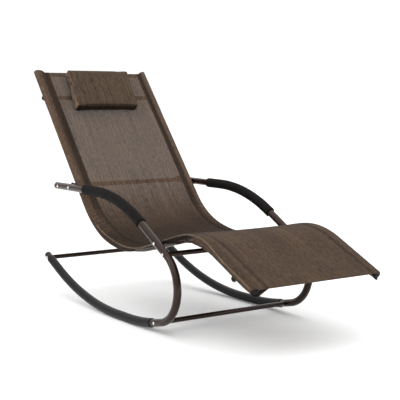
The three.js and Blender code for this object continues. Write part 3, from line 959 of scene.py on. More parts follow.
    def build_saddle(self) -> None:
        """The shell round the underside of the rail where the sling's pocket is open."""
        start = self.layout.seat_start - self.saddle_lead
        end = self.layout.knee_start + self.saddle_past_knee
        sweep_angles = (self.saddle_start_angle, self.saddle_sweep, self.saddle_steps)
        outline = arc((0, 0), self.saddle_radius, *sweep_angles)
        outline += reversed(arc((0, 0), self.saddle_bore, *sweep_angles))
        stops = self.rail.stops(start, end, self.saddle_pitch)
        frames = [self.rail.at(stop).matrix(self.rail_x) for stop in stops]
        bm = bmesh.new()
        first = line(bm, [(self.sign * across, off, 0) for across, off in outline])
        bmesh.ops.transform(bm, matrix=frames[0], verts=bm.verts[:])
        cap(bm, first, sweep(bm, first, frames))
        self.shop.piece(self.named("saddle"), bm, self.bronze, [self.named("rail_saddle")], sharp=50)

    def build_spacer(self) -> None:
        """The turned spacer between arm tube and side rail."""
        node = self.named("seat_spacer")
        low, high, middle = span(node)
        length = high.x - low.x
        radius = (high.z - low.z) / 2
        bevel = self.spacer_bevel
        profile = [(0, 0), (radius - bevel, 0), (radius, bevel), (radius - self.spacer_waist, length / 2),
                   (radius, length - bevel), (radius - bevel, length), (0, length)]
        bm = bmesh.new()
        spun(bm, profile, aimed(Vector((low.x, middle.y, middle.z)), Vector((1, 0, 0))))
        self.shop.piece(self.named("spacer"), bm, self.plastic, [node], sharp=30)

    def build_plugs(self) -> None:
        """The domed plugs in the ends of the tubes and rails."""
        ends = {"arm_plug": (self.route, self.x, 0.0, -1),
                "rocker_plug": (self.route, self.x, self.route.length, 1),
                "rail_head_plug": (self.rail, self.rail_x, 0.0, -1),
                "rail_foot_plug": (self.rail, self.rail_x, self.rail.length, 1)}
        profile = plug_profile(self.tube_radius, self.plug_crown)
        for node, (route, x, distance, sense) in ends.items():
            spot = route.at(distance)
            bm = bmesh.new()
            spun(bm, profile, aimed(spot.place(x), spot.ahead * sense))
            name = self.named(node.replace("plug", "cap"))
            self.shop.piece(name, bm, self.plastic, [self.named(node)], sharp=30)


def merge(bm: BMesh, other: BMesh) -> None:
    """Adds another mesh to a mesh and frees the other."""
    mesh = bpy.data.meshes.new("merge")
    other.to_mesh(mesh)
    other.free()
    bm.from_mesh(mesh)
    bpy.data.meshes.remove(mesh)


def plug_profile(radius: float, crown: float, wall: float = 0.0018, stem: float = 0.012, edge: float = 0.001,
                 rim: float = 0.0012, slope: float = 0.0003) -> list[Pair]:
    """Profile of a plug: a stem below zero and a domed cap above it.

    Args:
        radius: Radius of the cap.
        crown: Height of the cap.
        wall: How far the stem stands in from the cap's radius.
        stem: Length of the stem.
        edge: Bevel of the stem's end.
        rim: Height of the cap's straight rim.
        slope: Bevel under the rim.

    Returns:
        Points of radius and height from the axis back to the axis.
    """
    inner = radius - wall
    dome = [(radius * math.sin(angle), rim + (crown - rim) * math.cos(angle))
            for angle in (math.radians(90 - 10 * step) for step in range(1, 9))]
    return [(0, -stem), (inner - edge, -stem), (inner, edge - stem), (inner, -0.0005),
            (radius - slope, -slope), (radius, 0.0002), (radius, rim), *dome, (0, crown)]


@dataclass
class Crossbars:
    """The bars across the chair, and the plugs in the ends of the two that stick out.

    The outline of a plug is how far each point lies in from the bar's radius, and its height.
    """

    shop: Workshop
    radius: float = 0.0093
    edge: float = 0.0005
    plug_outline: tuple[Pair, ...] = ((0.002, -0.004), (0.002, -0.0003), (0.0004, -0.0003), (0.0, 0.0002),
                                      (0.0, 0.0011), (0.0008, 0.0019), (0.003, 0.0024))
    plug_crown: float = 0.0025
    bronze: Finish = BRONZE_PAINT
    plastic: Finish = PLUG_PLASTIC

    def build(self) -> None:
        """Makes the six bars and four plugs."""
        for node in ("head", "lumbar", "foot", "seat"):
            self.build_bar(f"{node}_crossbar", f"{node}_bar")
        self.build_bar("front_floor_bar", "front_bar")
        self.build_bar("rear_floor_bar", "rear_bar")
        for side in Side:
            for bar in ("head", "foot"):
                self.build_plug(bar, side)

    def build_bar(self, node: str, name: str) -> None:
        """A straight round bar with rounded ends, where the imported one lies.

        Args:
            node: Packed bar.
            name: Name of the piece.
        """
        low, high, middle = span(node)
        along = Vector((1, 0, 0))
        bm = bmesh.new()
        loft(bm, [aimed(Vector((x, middle.y, middle.z)), along) @ Matrix.Scale(size, 4)
                  for x, size in round_ended(low.x, high.x, self.radius, self.edge, 3)])
        self.shop.piece(name, bm, self.bronze, [node])

    def build_plug(self, bar: str, side: Side) -> None:
        """A domed plug in the end of a bar.

        Args:
            bar: Which bar.
            side: Which end.
        """
        low, high, middle = span(f"{bar}_crossbar")
        end = low.x if side is Side.RIGHT else high.x
        outline = [(self.radius - inset, height) for inset, height in self.plug_outline]
        bm = bmesh.new()
        spun(bm, [(0, outline[0][1]), *outline, (0, self.plug_crown)],
             aimed(Vector((end, middle.y, middle.z)), Vector((side.value, 0, 0))))
        node = f"{bar}_bar_plug_{side.label}"
        self.shop.piece(node.replace("plug", "cap"), bm, self.plastic, [node], sharp=30)


@dataclass
class Fasteners:
    """The bolts through the sides, and the screws through the bars into the rails.

    The outline of a head is how far each point lies in from the head's radius, and its height.
    """

    shop: Workshop
    layout: Layout
    screw_length: float = 0.031
    head_radius: float = 0.006
    head_height: float = 0.0032
    head_outline: tuple[Pair, ...] = ((0.0002, 0), (0, 0.0003), (0, 0.0011), (0.0005, 0.0019),
                                      (0.0014, 0.0026), (0.0024, 0.0031))
    shank_radius: float = 0.003
    shank_bevel: float = 0.0006
    shank_tip: float = 0.0008
    drive_radius: float = 0.0024
    drive_depth: float = 0.0018
    drive_bevel: float = 0.0002
    facets: int = 24
    tilt_share: float = 0.8
    zinc: Finish = BRIGHT_ZINC

    def build(self) -> None:
        """Makes every bolt and screw of both sides."""
        rail = self.layout.rail()
        for side in Side:
            for place in ("arm_end", "back", "seat", "seat_bar", "joint", "rear"):
                self.build_side_bolt(f"{place}_bolt_{side.label}", side)
            for bar in ("head", "lumbar", "foot"):
                self.build_rail_screw(f"{bar}_bar_screw_{side.label}", rail)

    def build_side_bolt(self, node: str, side: Side) -> None:
        """A bolt that runs in from the outside of a side.

        Args:
            node: Packed bolt.
            side: Side that its head is on.
        """
        low, high, middle = span(node)
        outer = low.x if side is Side.RIGHT else high.x
        seat = Vector((outer - side.value * self.head_height, middle.y, middle.z))
        length = high.x - low.x - self.head_height
        self.build_fastener(node, seat, Vector((side.value, 0, 0)), length, Drive.SOCKET)

    def build_rail_screw(self, node: str, rail: Route) -> None:
        """A screw that runs up through a bar into a side rail.

        Args:
            node: Packed screw.
            rail: Route of the side rail.
        """
        low, high, middle = span(node)
        spot = rail.nearest(middle.y, middle.z)
        down = -spot.off
        corners = [Vector((middle.x, y, z)) for y in (low.y, high.y) for z in (low.z, high.z)]
        reach = max((corner - middle).dot(down) for corner in corners)
        slant = self.head_radius * abs(math.sin(spot.heading) * math.cos(spot.heading)) * self.tilt_share
        seat = middle + down * (reach - self.head_height - slant)
        self.build_fastener(node, seat, down, self.screw_length, Drive.ROUND)

    def build_fastener(self, node: str, seat: Vector, outwards: Vector, length: float, drive: Drive) -> None:
        """A domed head with a recess, on a shank.

        Args:
            node: Packed bolt or screw.
            seat: Middle of the face that the head sits on.
            outwards: Direction from the shank to the head.
            length: Length of the shank.
            drive: Shape of the recess.
        """
        height, shank = self.head_height, self.shank_radius
        recess, bevel, floor = self.drive_radius, self.drive_bevel, height - self.drive_depth
        tip = (shank - self.shank_bevel, -length)
        profile = [(0, -length), tip, (shank, self.shank_tip - length), (shank, 0),
                   *((self.head_radius - inset, level) for inset, level in self.head_outline),
                   (recess + bevel, height), (recess, height - bevel), (recess, floor), (0, floor)]
        bm = bmesh.new()
        made = spun(bm, profile, Matrix.Identity(4), self.facets)
        if drive is Drive.SOCKET:
            self.flatten_recess(made, floor, drive)
        bmesh.ops.transform(bm, matrix=aimed(seat, outwards), verts=bm.verts[:])
        name = node.replace("bolt", "bolt_head").replace("screw", "screw_head")
        self.shop.piece(name, bm, self.zinc, [node], sharp=30)

    def flatten_recess(self, verts: Iterable[BMVert], floor: float, drive: Drive) -> None:
        """Draws a round recess in to a polygon.

        Args:
            verts: Points of the fastener, its axis along z.
            floor: Height of the recess's floor.
            drive: Shape of the recess.
        """
        side = math.tau / drive.value
        for vert in verts:
            reach = math.hypot(vert.co.x, vert.co.y)
            if vert.co.z >= floor - 1e-6 and 1e-5 < reach <= self.drive_radius + self.drive_bevel * 1.5:
                angle = math.atan2(vert.co.y, vert.co.x) % side - side / 2
                flat = math.cos(side / 2) / math.cos(angle)
                vert.co.x *= flat
                vert.co.y *= flat


# The angle round a rail of cloth that doesn't lie on one.
OFF_RAIL = 999.0


@dataclass
class Sling:
    """The woven mesh between the side rails, with a sewn pocket along each side.

    Each pocket is open under the seat, between two distances called its window. Fades that follow
    the window or an end of the rail have only a run here.
    """

    shop: Workshop
    layout: Layout
    # The sheet: its wall, its rows and columns, and the seam that closes each pocket.
    thickness: float = 0.001
    columns: int = 36
    hem_columns: int = 40
    row_pitch: float = 0.009
    gathered_row_pitch: float = 0.005
    end_rows: Pair = (0.004, 0.012)
    pocket_radius: float = 0.0152
    lower_tangent: int = -130
    return_depth: float = 0.0011
    return_columns: int = 5
    strip_columns: tuple[float, ...] = (0.010, 0.022, 0.034)
    seam_reach: float = 0.040
    seam_half: float = 0.0007
    seam_blend: float = 0.001
    seam_step: float = 0.0007
    panel_inset: float = 0.048
    # How it hangs: the seat's sag, and the pocket's slack outside and belly under the rail.
    sag: float = 0.004
    sag_fade: Fade = Fade(0.25, 0.7)
    sag_foot_run: float = 0.5
    slack: float = 0.0026
    slack_angle: float = -25.0
    belly: float = 0.0080
    belly_angle: float = -75.0
    belly_end_run: float = 0.09
    leg_belly_share: float = 0.45
    leg_belly: Fade = Fade(1.47, 0.1)
    leg_belly_foot_run: float = 0.06
    bend_run: float = 0.28
    bend_end: Fade = Fade(-0.12, 0.15)
    # The gathers of the pocket in the low bend.
    pucker: float = 0.0024
    pucker_pitch: float = 0.022
    pucker_slant: float = 0.35
    pucker_drift: float = 2.2
    pucker_fine: float = 0.12
    gather_middle: float = 0.19
    gather_spread: float = 0.13
    gather_side: Fade = Fade(20.0, 60.0)
    gather_seam_run: float = 0.015
    # Painted light and shade: how bright each stretch is painted, and for each side where the painted shade
    # on its strip starts and its roll's painted light level.
    crease: float = 0.55
    crease_swing: float = 2.2
    seat_fade: Fade = Fade(0.62, 0.36)
    leg_fade: Fade = Fade(1.42, 0.16)
    panel_fade: Fade = Fade(0.55, 0.4)
    seat_shade: float = 0.64
    leg_shade: float = 0.30
    strip_and_roll_shades: tuple[Pair, Pair] = ((0.002, 0.78), (0.010, 0.98))
    strip_blend: float = 0.012
    strip_shade: float = 0.70
    strip_leg_gain: float = 0.80
    strip_gather_gain: float = 0.85
    roll_light: float = 0.10
    roll_light_angle: float = 20.0
    seam_shade: float = 0.62
    seam_shade_line: float = 0.034
    seam_shade_spread: float = 0.006
    # The window of a pocket, and the fold that closes it above.
    window_lead: float = 0.096
    window_past_knee: float = 0.070
    window_angles: Pair = (-108.0, -12.0)
    window_tapers: Pair = (0.05, 0.11)
    window_taper_power: float = 0.75
    window_least: float = 0.03
    fold_angle: float = -8.0
    fold_rise: float = 62.0
    fold_lag: float = 0.06
    # The ends of the cloth. A hem's outline is along the rail from its fold, and off the cloth.
    head_inset: float = 0.013
    cap_cover: float = 0.0015
    corner_point: float = 0.004
    rail_fade: Fade = Fade(-0.022, 0.016)
    head_run: float = 0.06
    foot_run: float = 0.05
    foot_reach: float = 0.009
    hem_outline: tuple[Pair, ...] = (
        (0.0, 0.0007), (-0.0010, 0.0), (-0.0014, -0.0008), (-0.0012, -0.0018), (0.0, -0.0024),
        (0.02, -0.0022), (0.0212, -0.0018), (0.0212, -0.0010), (0.02, -0.0007), (0.001, -0.0005))
    hem_inset: float = 0.001
    # The bound edge of the fold, the facing inside the window that is painted near-black as its shade, and
    # the stitches.
    binding_radius: float = 0.0040
    binding_sink: float = 0.0020
    binding_lead: float = 0.30
    binding_tail: float = 0.012
    binding_angle: float = 2.0
    binding_lead_rise: float = 26.0
    binding_leg_drop: float = 50.0
    binding_leg_run: float = 0.2
    binding_steps: int = 180
    facing_radii: Pair = (0.01462, 0.01500)
    facing_insets: Pair = (0.012, 0.004)
    facing_tuck: float = 4.0
    facing_angle: float = -26.0
    facing_rise: float = 22.0
    facing_run: float = 0.09
    facing_rows: int = 60
    facing_columns: int = 8
    stitch_rows: Pair = (0.002, 0.007)
    stitch_pitch: float = 0.0045
    stitch_length: float = 0.0032
    stitch_sizes: Pair = (0.0004, 0.00035)
    stitch_start: float = 0.02
    stitch_margin: float = 0.03
    cloth: WovenCloth = SLING_CLOTH
    edge: WovenCloth = EDGE_CLOTH
    binding: WovenCloth = BINDING_CLOTH
    facing: WovenCloth = SHADE_FACING_CLOTH
    thread: Finish = SEWING_THREAD

    def __post_init__(self) -> None:
        """Works out the rail's route and where the pockets are open."""
        self.rail = self.layout.rail()
        self.half = self.layout.rail_half_width
        self.window = (self.layout.seat_start - self.window_lead,
                       self.layout.knee_start + self.window_past_knee)

    def section(self) -> list[tuple[float, float, float, float]]:
        """The cloth's section from the right seam, round both rails, to the left seam.

        Returns:
            For each point its x, its height off the route, how far across the cloth it is, and
            its angle round the nearer rail.
        """
        radius = self.pocket_radius
        seam = (self.half - self.seam_reach, radius - self.return_depth)
        steps = range(int(self.window_angles[0]), 61, 12)
        angles = (self.lower_tangent, self.lower_tangent + 11, *steps, 70, 80, 90)
        roll = [(self.half + radius * math.cos(turned), radius * math.sin(turned), angle)
                for angle, turned in zip(angles, map(math.radians, angles))]
        shares = [step / self.return_columns for step in range(self.return_columns)]
        back = [(*(here + (there - here) * share for here, there in zip(seam, roll[0])), OFF_RAIL)
                for share in shares]
        insets = (*self.strip_columns, self.seam_reach - self.seam_half, self.seam_reach + self.seam_half)
        strip = [(self.half - inset, radius, OFF_RAIL) for inset in (*insets, self.panel_inset)]
        left = [*back, *roll, *strip]
        edge = self.half - self.panel_inset
        middle = [(edge - edge * 2 * step / self.columns, radius, OFF_RAIL)
                  for step in range(1, self.columns)]
        path = [*left, *middle, *((-x, z, angle) for x, z, angle in reversed(left))]
        reach, rows = 0.0, []
        for index, (x, z, angle) in enumerate(path):
            if index:
                reach += math.hypot(x - path[index - 1][0], z - path[index - 1][1])
            rows.append((x, z, reach, angle))
        return rows

    def rows(self) -> list[float]:
        """Distances along the rail of the cloth's rows, closer together where it is gathered."""
        end, back = self.rail.length, self.layout.back.length
        near, far = self.end_rows
        marks = [0.0, near, far, back, *self.window, end - far, end - near, end]
        found = [0.0]
        for low, high in zip(marks, marks[1:]):
            pitch = self.gathered_row_pitch if back <= low < self.window[1] else self.row_pitch
            steps = max(round((high - low) / pitch), 1)
            found += [low + (high - low) * step / steps for step in range(1, steps + 1)]
        return found

    def build(self) -> None:
        """Makes the cloth, its hems, its window edges and its stitching."""
        self.build_cloth()
        self.build_hem("head_hem", self.head_inset + self.hem_inset, 1)
        self.build_hem("foot_hem", self.rail.length + self.foot_reach - self.hem_inset, -1)
        for side in Side:
            self.build_fold_edge(side)
            self.build_facing(side)
            self.build_stitches(side)

    def top_edge(self, distance: float) -> float:
        """Angle round the rail of the fold over the open stretch of a pocket."""
        start, end = self.window
        return self.fold_angle + self.fold_rise * Fade(start, end - start - self.fold_lag).at(distance)

    def window_angle(self, angle: float, distance: float) -> float:
        """Where a point round the rail moves to, so that the opening tapers at its ends.

        Args:
            angle: Angle round the rail.
            distance: Distance along the rail.

        Returns:
            The new angle.
        """
        start, end = self.window
        lead, tail = self.window_tapers
        low_angle, high_angle = self.window_angles
        beyond = max(start - distance, distance - end, 0.0)
        if beyond >= lead:
            return angle
        opened = min((distance - start) / lead, (end - distance) / tail, 1.0)
        share = max(max(opened, 0.0) ** self.window_taper_power, self.window_least)
        top = self.top_edge(distance)
        bottom = top + (low_angle - top) * share
        lowest = float(self.lower_tangent)
        marks = [(lowest, lowest), (low_angle, bottom), (high_angle, top), (90.0, 90.0)]
        moved = angle
        for (low, low_to), (high, high_to) in zip(marks, marks[1:]):
            if low <= angle <= high:
                moved = low_to + (high_to - low_to) * (angle - low) / (high - low)
        return moved + (angle - moved) * smoothstep(beyond / lead)

    def in_bend(self, distance: float) -> float:
        """How far into the low bend of the seat a distance lies, from zero to one."""
        entered = Fade(self.layout.back.length, self.bend_run).at(distance)
        return entered * (1 - self.bend_end.at(distance - self.window[1]))

    def past_seam(self, inboard: float) -> float:
        """One on the single cloth inboard of the seam, zero on the doubled strip beside the rail."""
        return Fade(self.seam_reach - self.seam_blend / 2, self.seam_blend).at(inboard)

    def height_change(self, x: float, distance: float) -> float:
        """How far the cloth lies below its straight line between the rails.

        Args:
            x: Place across the seat.
            distance: Distance along the rail.

        Returns:
            The depth, in metres.
        """
        across = max(0.0, 1 - (x / self.half) ** 2)
        along = self.sag_fade.at(distance) * smoothstep((self.rail.length - distance) / self.sag_foot_run)
        return self.sag * across * along - self.seam_step * (1 - self.past_seam(self.half - abs(x)))

    def gathered(self, x: float, distance: float, angle: float) -> float:
        """How strongly the pocket is gathered at a point, from zero to one.

        Args:
            x: Place across the seat.
            distance: Distance along the rail.
            angle: Angle round the rail.

        Returns:
            The share.
        """
        inboard = max(0.0, self.half - abs(x))
        if angle == OFF_RAIL and inboard > self.seam_reach:
            return 0.0
        past = distance - self.layout.back.length - self.gather_middle
        along = math.exp(-(past / self.gather_spread) ** 2)
        low_side = 1.0 if angle == OFF_RAIL else self.gather_side.at(angle)
        return along * low_side * smoothstep((self.seam_reach - inboard) / self.gather_seam_run)

    def wave(self, x: float, distance: float) -> float:
        """Height of the gathers at a point, from zero in a crease to one on a ridge."""
        inboard = max(0.0, self.half - abs(x))
        drift = noise.noise(Vector((distance * 12, x * 4, 1.7)))
        phase = math.pi * (distance + inboard * self.pucker_slant) / self.pucker_pitch
        crest = abs(math.sin(phase + self.pucker_drift * drift))
        return 1 - (1 - crest) ** 2

    def gather(self, x: float, distance: float, angle: float) -> float:
        """How far the gathers of the pocket push the cloth out at a point, in metres."""
        fine = self.pucker_fine * noise.noise(Vector((distance * 210, x * 60, 9.1)))
        return self.pucker * self.gathered(x, distance, angle) * (self.wave(x, distance) + fine)

    def loosened(self, angle: float, distance: float) -> float:
        """How far the pocket hangs clear of the rail, in metres.

        Args:
            angle: Angle round the rail.
            distance: Distance along the rail.

        Returns:
            The gap.
        """
        outside = max(0.0, math.cos(math.radians(angle - self.slack_angle))) ** 2
        under = max(0.0, math.cos(math.radians(angle - self.belly_angle)))
        opened = Fade(self.window[0] - self.belly_end_run, self.belly_end_run).at(distance)
        leg = self.leg_belly.at(distance)
        leg *= smoothstep((self.rail.length - distance) / self.leg_belly_foot_run)
        hanging = max(self.in_bend(distance) * (1 - opened), self.leg_belly_share * leg)
        return self.slack * outside + self.belly * under * hanging

    def build_cloth(self) -> None:
        """The cloth as one sheet, thickened."""
        section, rows = self.section(), self.rows()
        bm = bmesh.new()
        layers = {key: bm.verts.layers.float.new(key) for key in ("across", "along", "turn", "shade", "bare")}
        ring = line(bm, [(x, height, 0) for x, height, _, _ in section], closed=False)
        for vert, (_, _, reach, angle) in zip(bm.verts, section):
            vert[layers["across"]] = reach
            vert[layers["turn"]] = angle
        frames = [self.rail.at(row).matrix(0) for row in rows]
        bmesh.ops.transform(bm, matrix=frames[0], verts=bm.verts[:])
        for row, here, there in zip(rows[1:], frames, frames[1:]):
            ring = grow(bm, ring, here, there)
            for vert in {vert for edge in ring for vert in edge.verts}:
                vert[layers["along"]] = row
        self.open_windows(bm, layers)
        for vert in bm.verts:
            self.paint_shading(vert, layers)
            self.shape(vert, layers)
        flat = bm.loops.layers.uv.new("cloth")
        for loop in (loop for face in bm.faces for loop in face.loops):
            loop[flat].uv = (loop.vert[layers["across"]], loop.vert[layers["along"]])
        made = self.shop.piece("sling_cloth", bm, self.cloth, ["sling"], sharp=180, turned=False)
        thicken(made, self.thickness)

    def open_windows(self, bm: BMesh, layers: dict) -> None:
        """Takes out the faces where the pockets are open.

        Args:
            bm: The cloth.
            layers: Its layers of place.
        """
        near = 1e-4
        (start, end), (low, high) = self.window, self.window_angles
        gone = [face for face in bm.faces
                if all(low - near <= vert[layers["turn"]] <= high + near
                       and start - near <= vert[layers["along"]] <= end + near for vert in face.verts)]
        bmesh.ops.delete(bm, geom=gone, context="FACES")

    def paint_shading(self, vert: BMVert, layers: dict) -> None:
        """Paints light and shade into the cloth's colour at a point, and sets how much shows through it.

        The painted shade stands for light that comes through a single layer and hardly any through the two
        layers beside a rail, and darkens the seat, the leg, a line along the seam on the leg and the creases
        of the gathers. Painted light brightens each roll on its lit side and the ridges of the gathers, and
        the two sides are painted differently.

        Args:
            vert: Point of the cloth, before it is shaped.
            layers: Its layers of place.
        """
        distance, angle, x = vert[layers["along"]], vert[layers["turn"]], vert.co.x
        inboard = self.half - abs(x)
        leg = self.leg_fade.at(distance)
        seat = self.seat_fade.at(distance) * (1 - leg)
        single = self.past_seam(inboard) if angle == OFF_RAIL else 0.0
        gathered = self.gathered(x, distance, angle)
        # Each side has its own start of painted shade on its strip and its own painted light on its roll.
        edge, roll = self.strip_and_roll_shades[x > 0]
        beside = Fade(edge, self.strip_blend).at(inboard) * (1 - single)
        beside *= 1 - self.strip_gather_gain * gathered
        # Painted shade: a darker seat and leg, and a darker doubled strip beside the rail.
        shade = 1 - self.seat_shade * seat - self.leg_shade * leg
        shade *= 1 - (self.strip_shade - self.strip_leg_gain * leg) * beside
        # Painted shade along the seam on the leg, or painted light on the roll's lit side.
        if angle == OFF_RAIL:
            past = (inboard - self.seam_shade_line) / self.seam_shade_spread
            shade *= 1 - self.seam_shade * leg * math.exp(-past ** 2)
        else:
            shade *= roll + self.roll_light * math.cos(math.radians(angle - self.roll_light_angle))
        # Painted shade in the creases of the gathers and painted light on their ridges.
        shade *= 1 + gathered * self.crease * (self.crease_swing * self.wave(x, distance) - 1)
        vert[layers["shade"]] = shade
        vert[layers["bare"]] = (1 - self.panel_fade.at(distance)) * single

    def shape(self, vert: BMVert, layers: dict) -> None:
        """Sags the cloth, gathers its pocket, tapers its opening and draws its corners out.

        Args:
            vert: Point of the cloth.
            layers: Its layers of place.
        """
        distance, angle, x = vert[layers["along"]], vert[layers["turn"]], vert.co.x
        spot = self.rail.at(distance)
        swell = self.gather(x, distance, angle)
        if angle == OFF_RAIL:
            vert.co += spot.off * (swell - self.height_change(x, distance))
        else:
            turned = self.window_angle(angle, distance)
            radius = self.pocket_radius + swell + self.loosened(turned, distance)
            vert.co = self.round_rail(math.copysign(1, x), distance, turned, radius)
        vert.co += spot.ahead * self.end_shift(x, distance)

    def end_shift(self, x: float, distance: float) -> float:
        """How far a point near an end of the cloth moves along the rail, so that the corners point out.

        Args:
            x: Place across the seat.
            distance: Distance along the rail.

        Returns:
            The shift towards the feet, in metres.
        """
        outboard = abs(x) - self.half
        outer = smoothstep(outboard / self.pocket_radius)
        on_rail = self.rail_fade.at(outboard)
        head = smoothstep(1 - distance / self.head_run)
        foot = smoothstep(1 - (self.rail.length - distance) / self.foot_run)
        drawn = self.head_inset * (1 - on_rail) - self.cap_cover * on_rail - self.corner_point * outer
        hung = self.foot_reach * (1 - outer) - self.corner_point * outer
        return drawn * head + hung * foot

    def round_rail(self, sign: float, distance: float, angle: float, radius: float) -> Vector:
        """A point round a rail.

        Args:
            sign: Side of the rail.
            distance: Distance along it.
            angle: Angle round it.
            radius: Distance from its centre line.

        Returns:
            The point.
        """
        spot = self.rail.at(distance)
        turned = math.radians(angle)
        across = sign * (self.half + radius * math.cos(turned))
        return spot.place(across) + spot.off * radius * math.sin(turned)

    def build_hem(self, name: str, distance: float, sense: int) -> None:
        """The folded hem behind an end edge of the cloth.

        Args:
            name: Which hem.
            distance: Distance along the rail of its fold.
            sense: Way along the rail that it lies from its fold.
        """
        lift = self.pocket_radius - self.height_change(0.0, distance)
        points = []
        for along, height in self.hem_outline:
            spot = self.rail.at(distance + along * sense)
            points.append(spot.place(-self.half) + spot.off * (lift + height))
        bm = bmesh.new()
        first = line(bm, points)
        cap(bm, first, sweep(bm, first, shifts(self.half * 2, self.hem_columns)))
        self.shop.piece(f"sling_{name}", bm, self.edge, sharp=60)

    def build_fold_edge(self, side: Side) -> None:
        """The bound edge of the fold, which runs up over the open stretch of a pocket.

        Args:
            side: Which pocket.
        """
        start, end = self.window
        first, last = start - self.binding_lead, self.rail.length - self.binding_tail
        points = []
        for step in range(self.binding_steps + 1):
            distance = first + (last - first) * step / self.binding_steps
            angle = self.top_edge(max(distance, start)) + self.binding_angle
            angle += self.binding_lead_rise * smoothstep((start - distance) / self.binding_lead)
            angle -= self.binding_leg_drop * Fade(end, self.binding_leg_run).at(distance)
            radius = self.pocket_radius + self.loosened(angle, distance) - self.binding_sink
            points.append(self.round_rail(side.value, distance, angle, radius))
        bm = bmesh.new()
        cord(bm, points, self.binding_radius, 12, joined=False)
        self.shop.piece(f"fold_edge_{side.label}", bm, self.binding, sharp=80)

    def build_facing(self, side: Side) -> None:
        """The facing on the rail inside the open stretch of a pocket, painted near-black as the shade inside
        the opening.

        Args:
            side: Which pocket.
        """
        (start, end), (inner, outer) = self.window, self.facing_radii
        first, last = start + self.facing_insets[0], end - self.facing_insets[1]
        bm = bmesh.new()
        rings = []
        for row in range(self.facing_rows + 1):
            distance = first + (last - first) * row / self.facing_rows
            top = self.top_edge(distance) + self.facing_tuck
            risen = Fade(end - self.facing_run, self.facing_run).at(distance)
            low = self.facing_angle + self.facing_rise * risen
            shares = [step / self.facing_columns for step in range(self.facing_columns + 1)]
            angles = [top + (low - top) * share for share in shares]
            outline = [(outer, angle) for angle in angles] + [(inner, angle) for angle in reversed(angles)]
            rings.append(line(bm, [self.round_rail(side.value, distance, angle, radius)
                                   for radius, angle in outline]))
        for here, there in zip(rings, rings[1:]):
            bmesh.ops.bridge_loops(bm, edges=[*here, *there])
        cap(bm, rings[0], rings[-1])
        self.shop.piece(f"pocket_facing_{side.label}", bm, self.facing, sharp=50)

    def build_stitches(self, side: Side) -> None:
        """Two rows of stitches along the seam of a pocket.

        Args:
            side: Which pocket.
        """
        size = Matrix.Diagonal((*self.stitch_sizes, self.stitch_length / 2, 1))
        count = int((self.rail.length - self.stitch_margin) / self.stitch_pitch)
        bm = bmesh.new()
        for row in self.stitch_rows:
            x = side.value * (self.half - self.seam_reach + row)
            for index in range(count):
                distance = self.stitch_start + self.stitch_pitch * index
                lift = self.pocket_radius + self.thickness / 2 - self.height_change(x, distance)
                lift += self.gather(x, distance, OFF_RAIL)
                frame = self.rail.at(distance).matrix(x) @ Matrix.Translation((0, lift, 0))
                bmesh.ops.create_icosphere(bm, subdivisions=1, radius=1.0, matrix=frame @ size)
        self.shop.piece(f"seam_stitches_{side.label}", bm, self.thread, sharp=180, turned=False)


def thicken(made: bpy.types.Object, thickness: float) -> None:
    """Gives a sheet a wall, evenly to both sides."""
    wall = made.modifiers.new("thickness", "SOLIDIFY")
    wall.thickness = thickness
    wall.offset = 0.0


def cord(bm: BMesh, points: Sequence[Vector], radius: float, segments: int, joined: bool = True) -> None:
    """A round cord through points.

    Args:
        bm: The mesh.
        points: The cord's centre line.
        radius: Radius of the cord.
        segments: Facets round it.
        joined: Whether its last point leads back to its first.
    """
    if joined:
        before, after = [points[-1], *points[:-1]], [*points[1:], points[0]]
    else:
        before, after = [points[0], *points[:-1]], [*points[1:], points[-1]]
    frames = []
    side = None
    for point, last, following in zip(points, before, after):
        ahead = (following - last).normalized()
        side = (ahead.orthogonal() if side is None else side - ahead * side.dot(ahead)).normalized()
        turned = Matrix((side, ahead.cross(side), ahead)).transposed().to_4x4()
        frames.append(Matrix.Translation(point) @ turned @ Matrix.Scale(radius, 4))
    loft(bm, frames, segments, closed=joined)


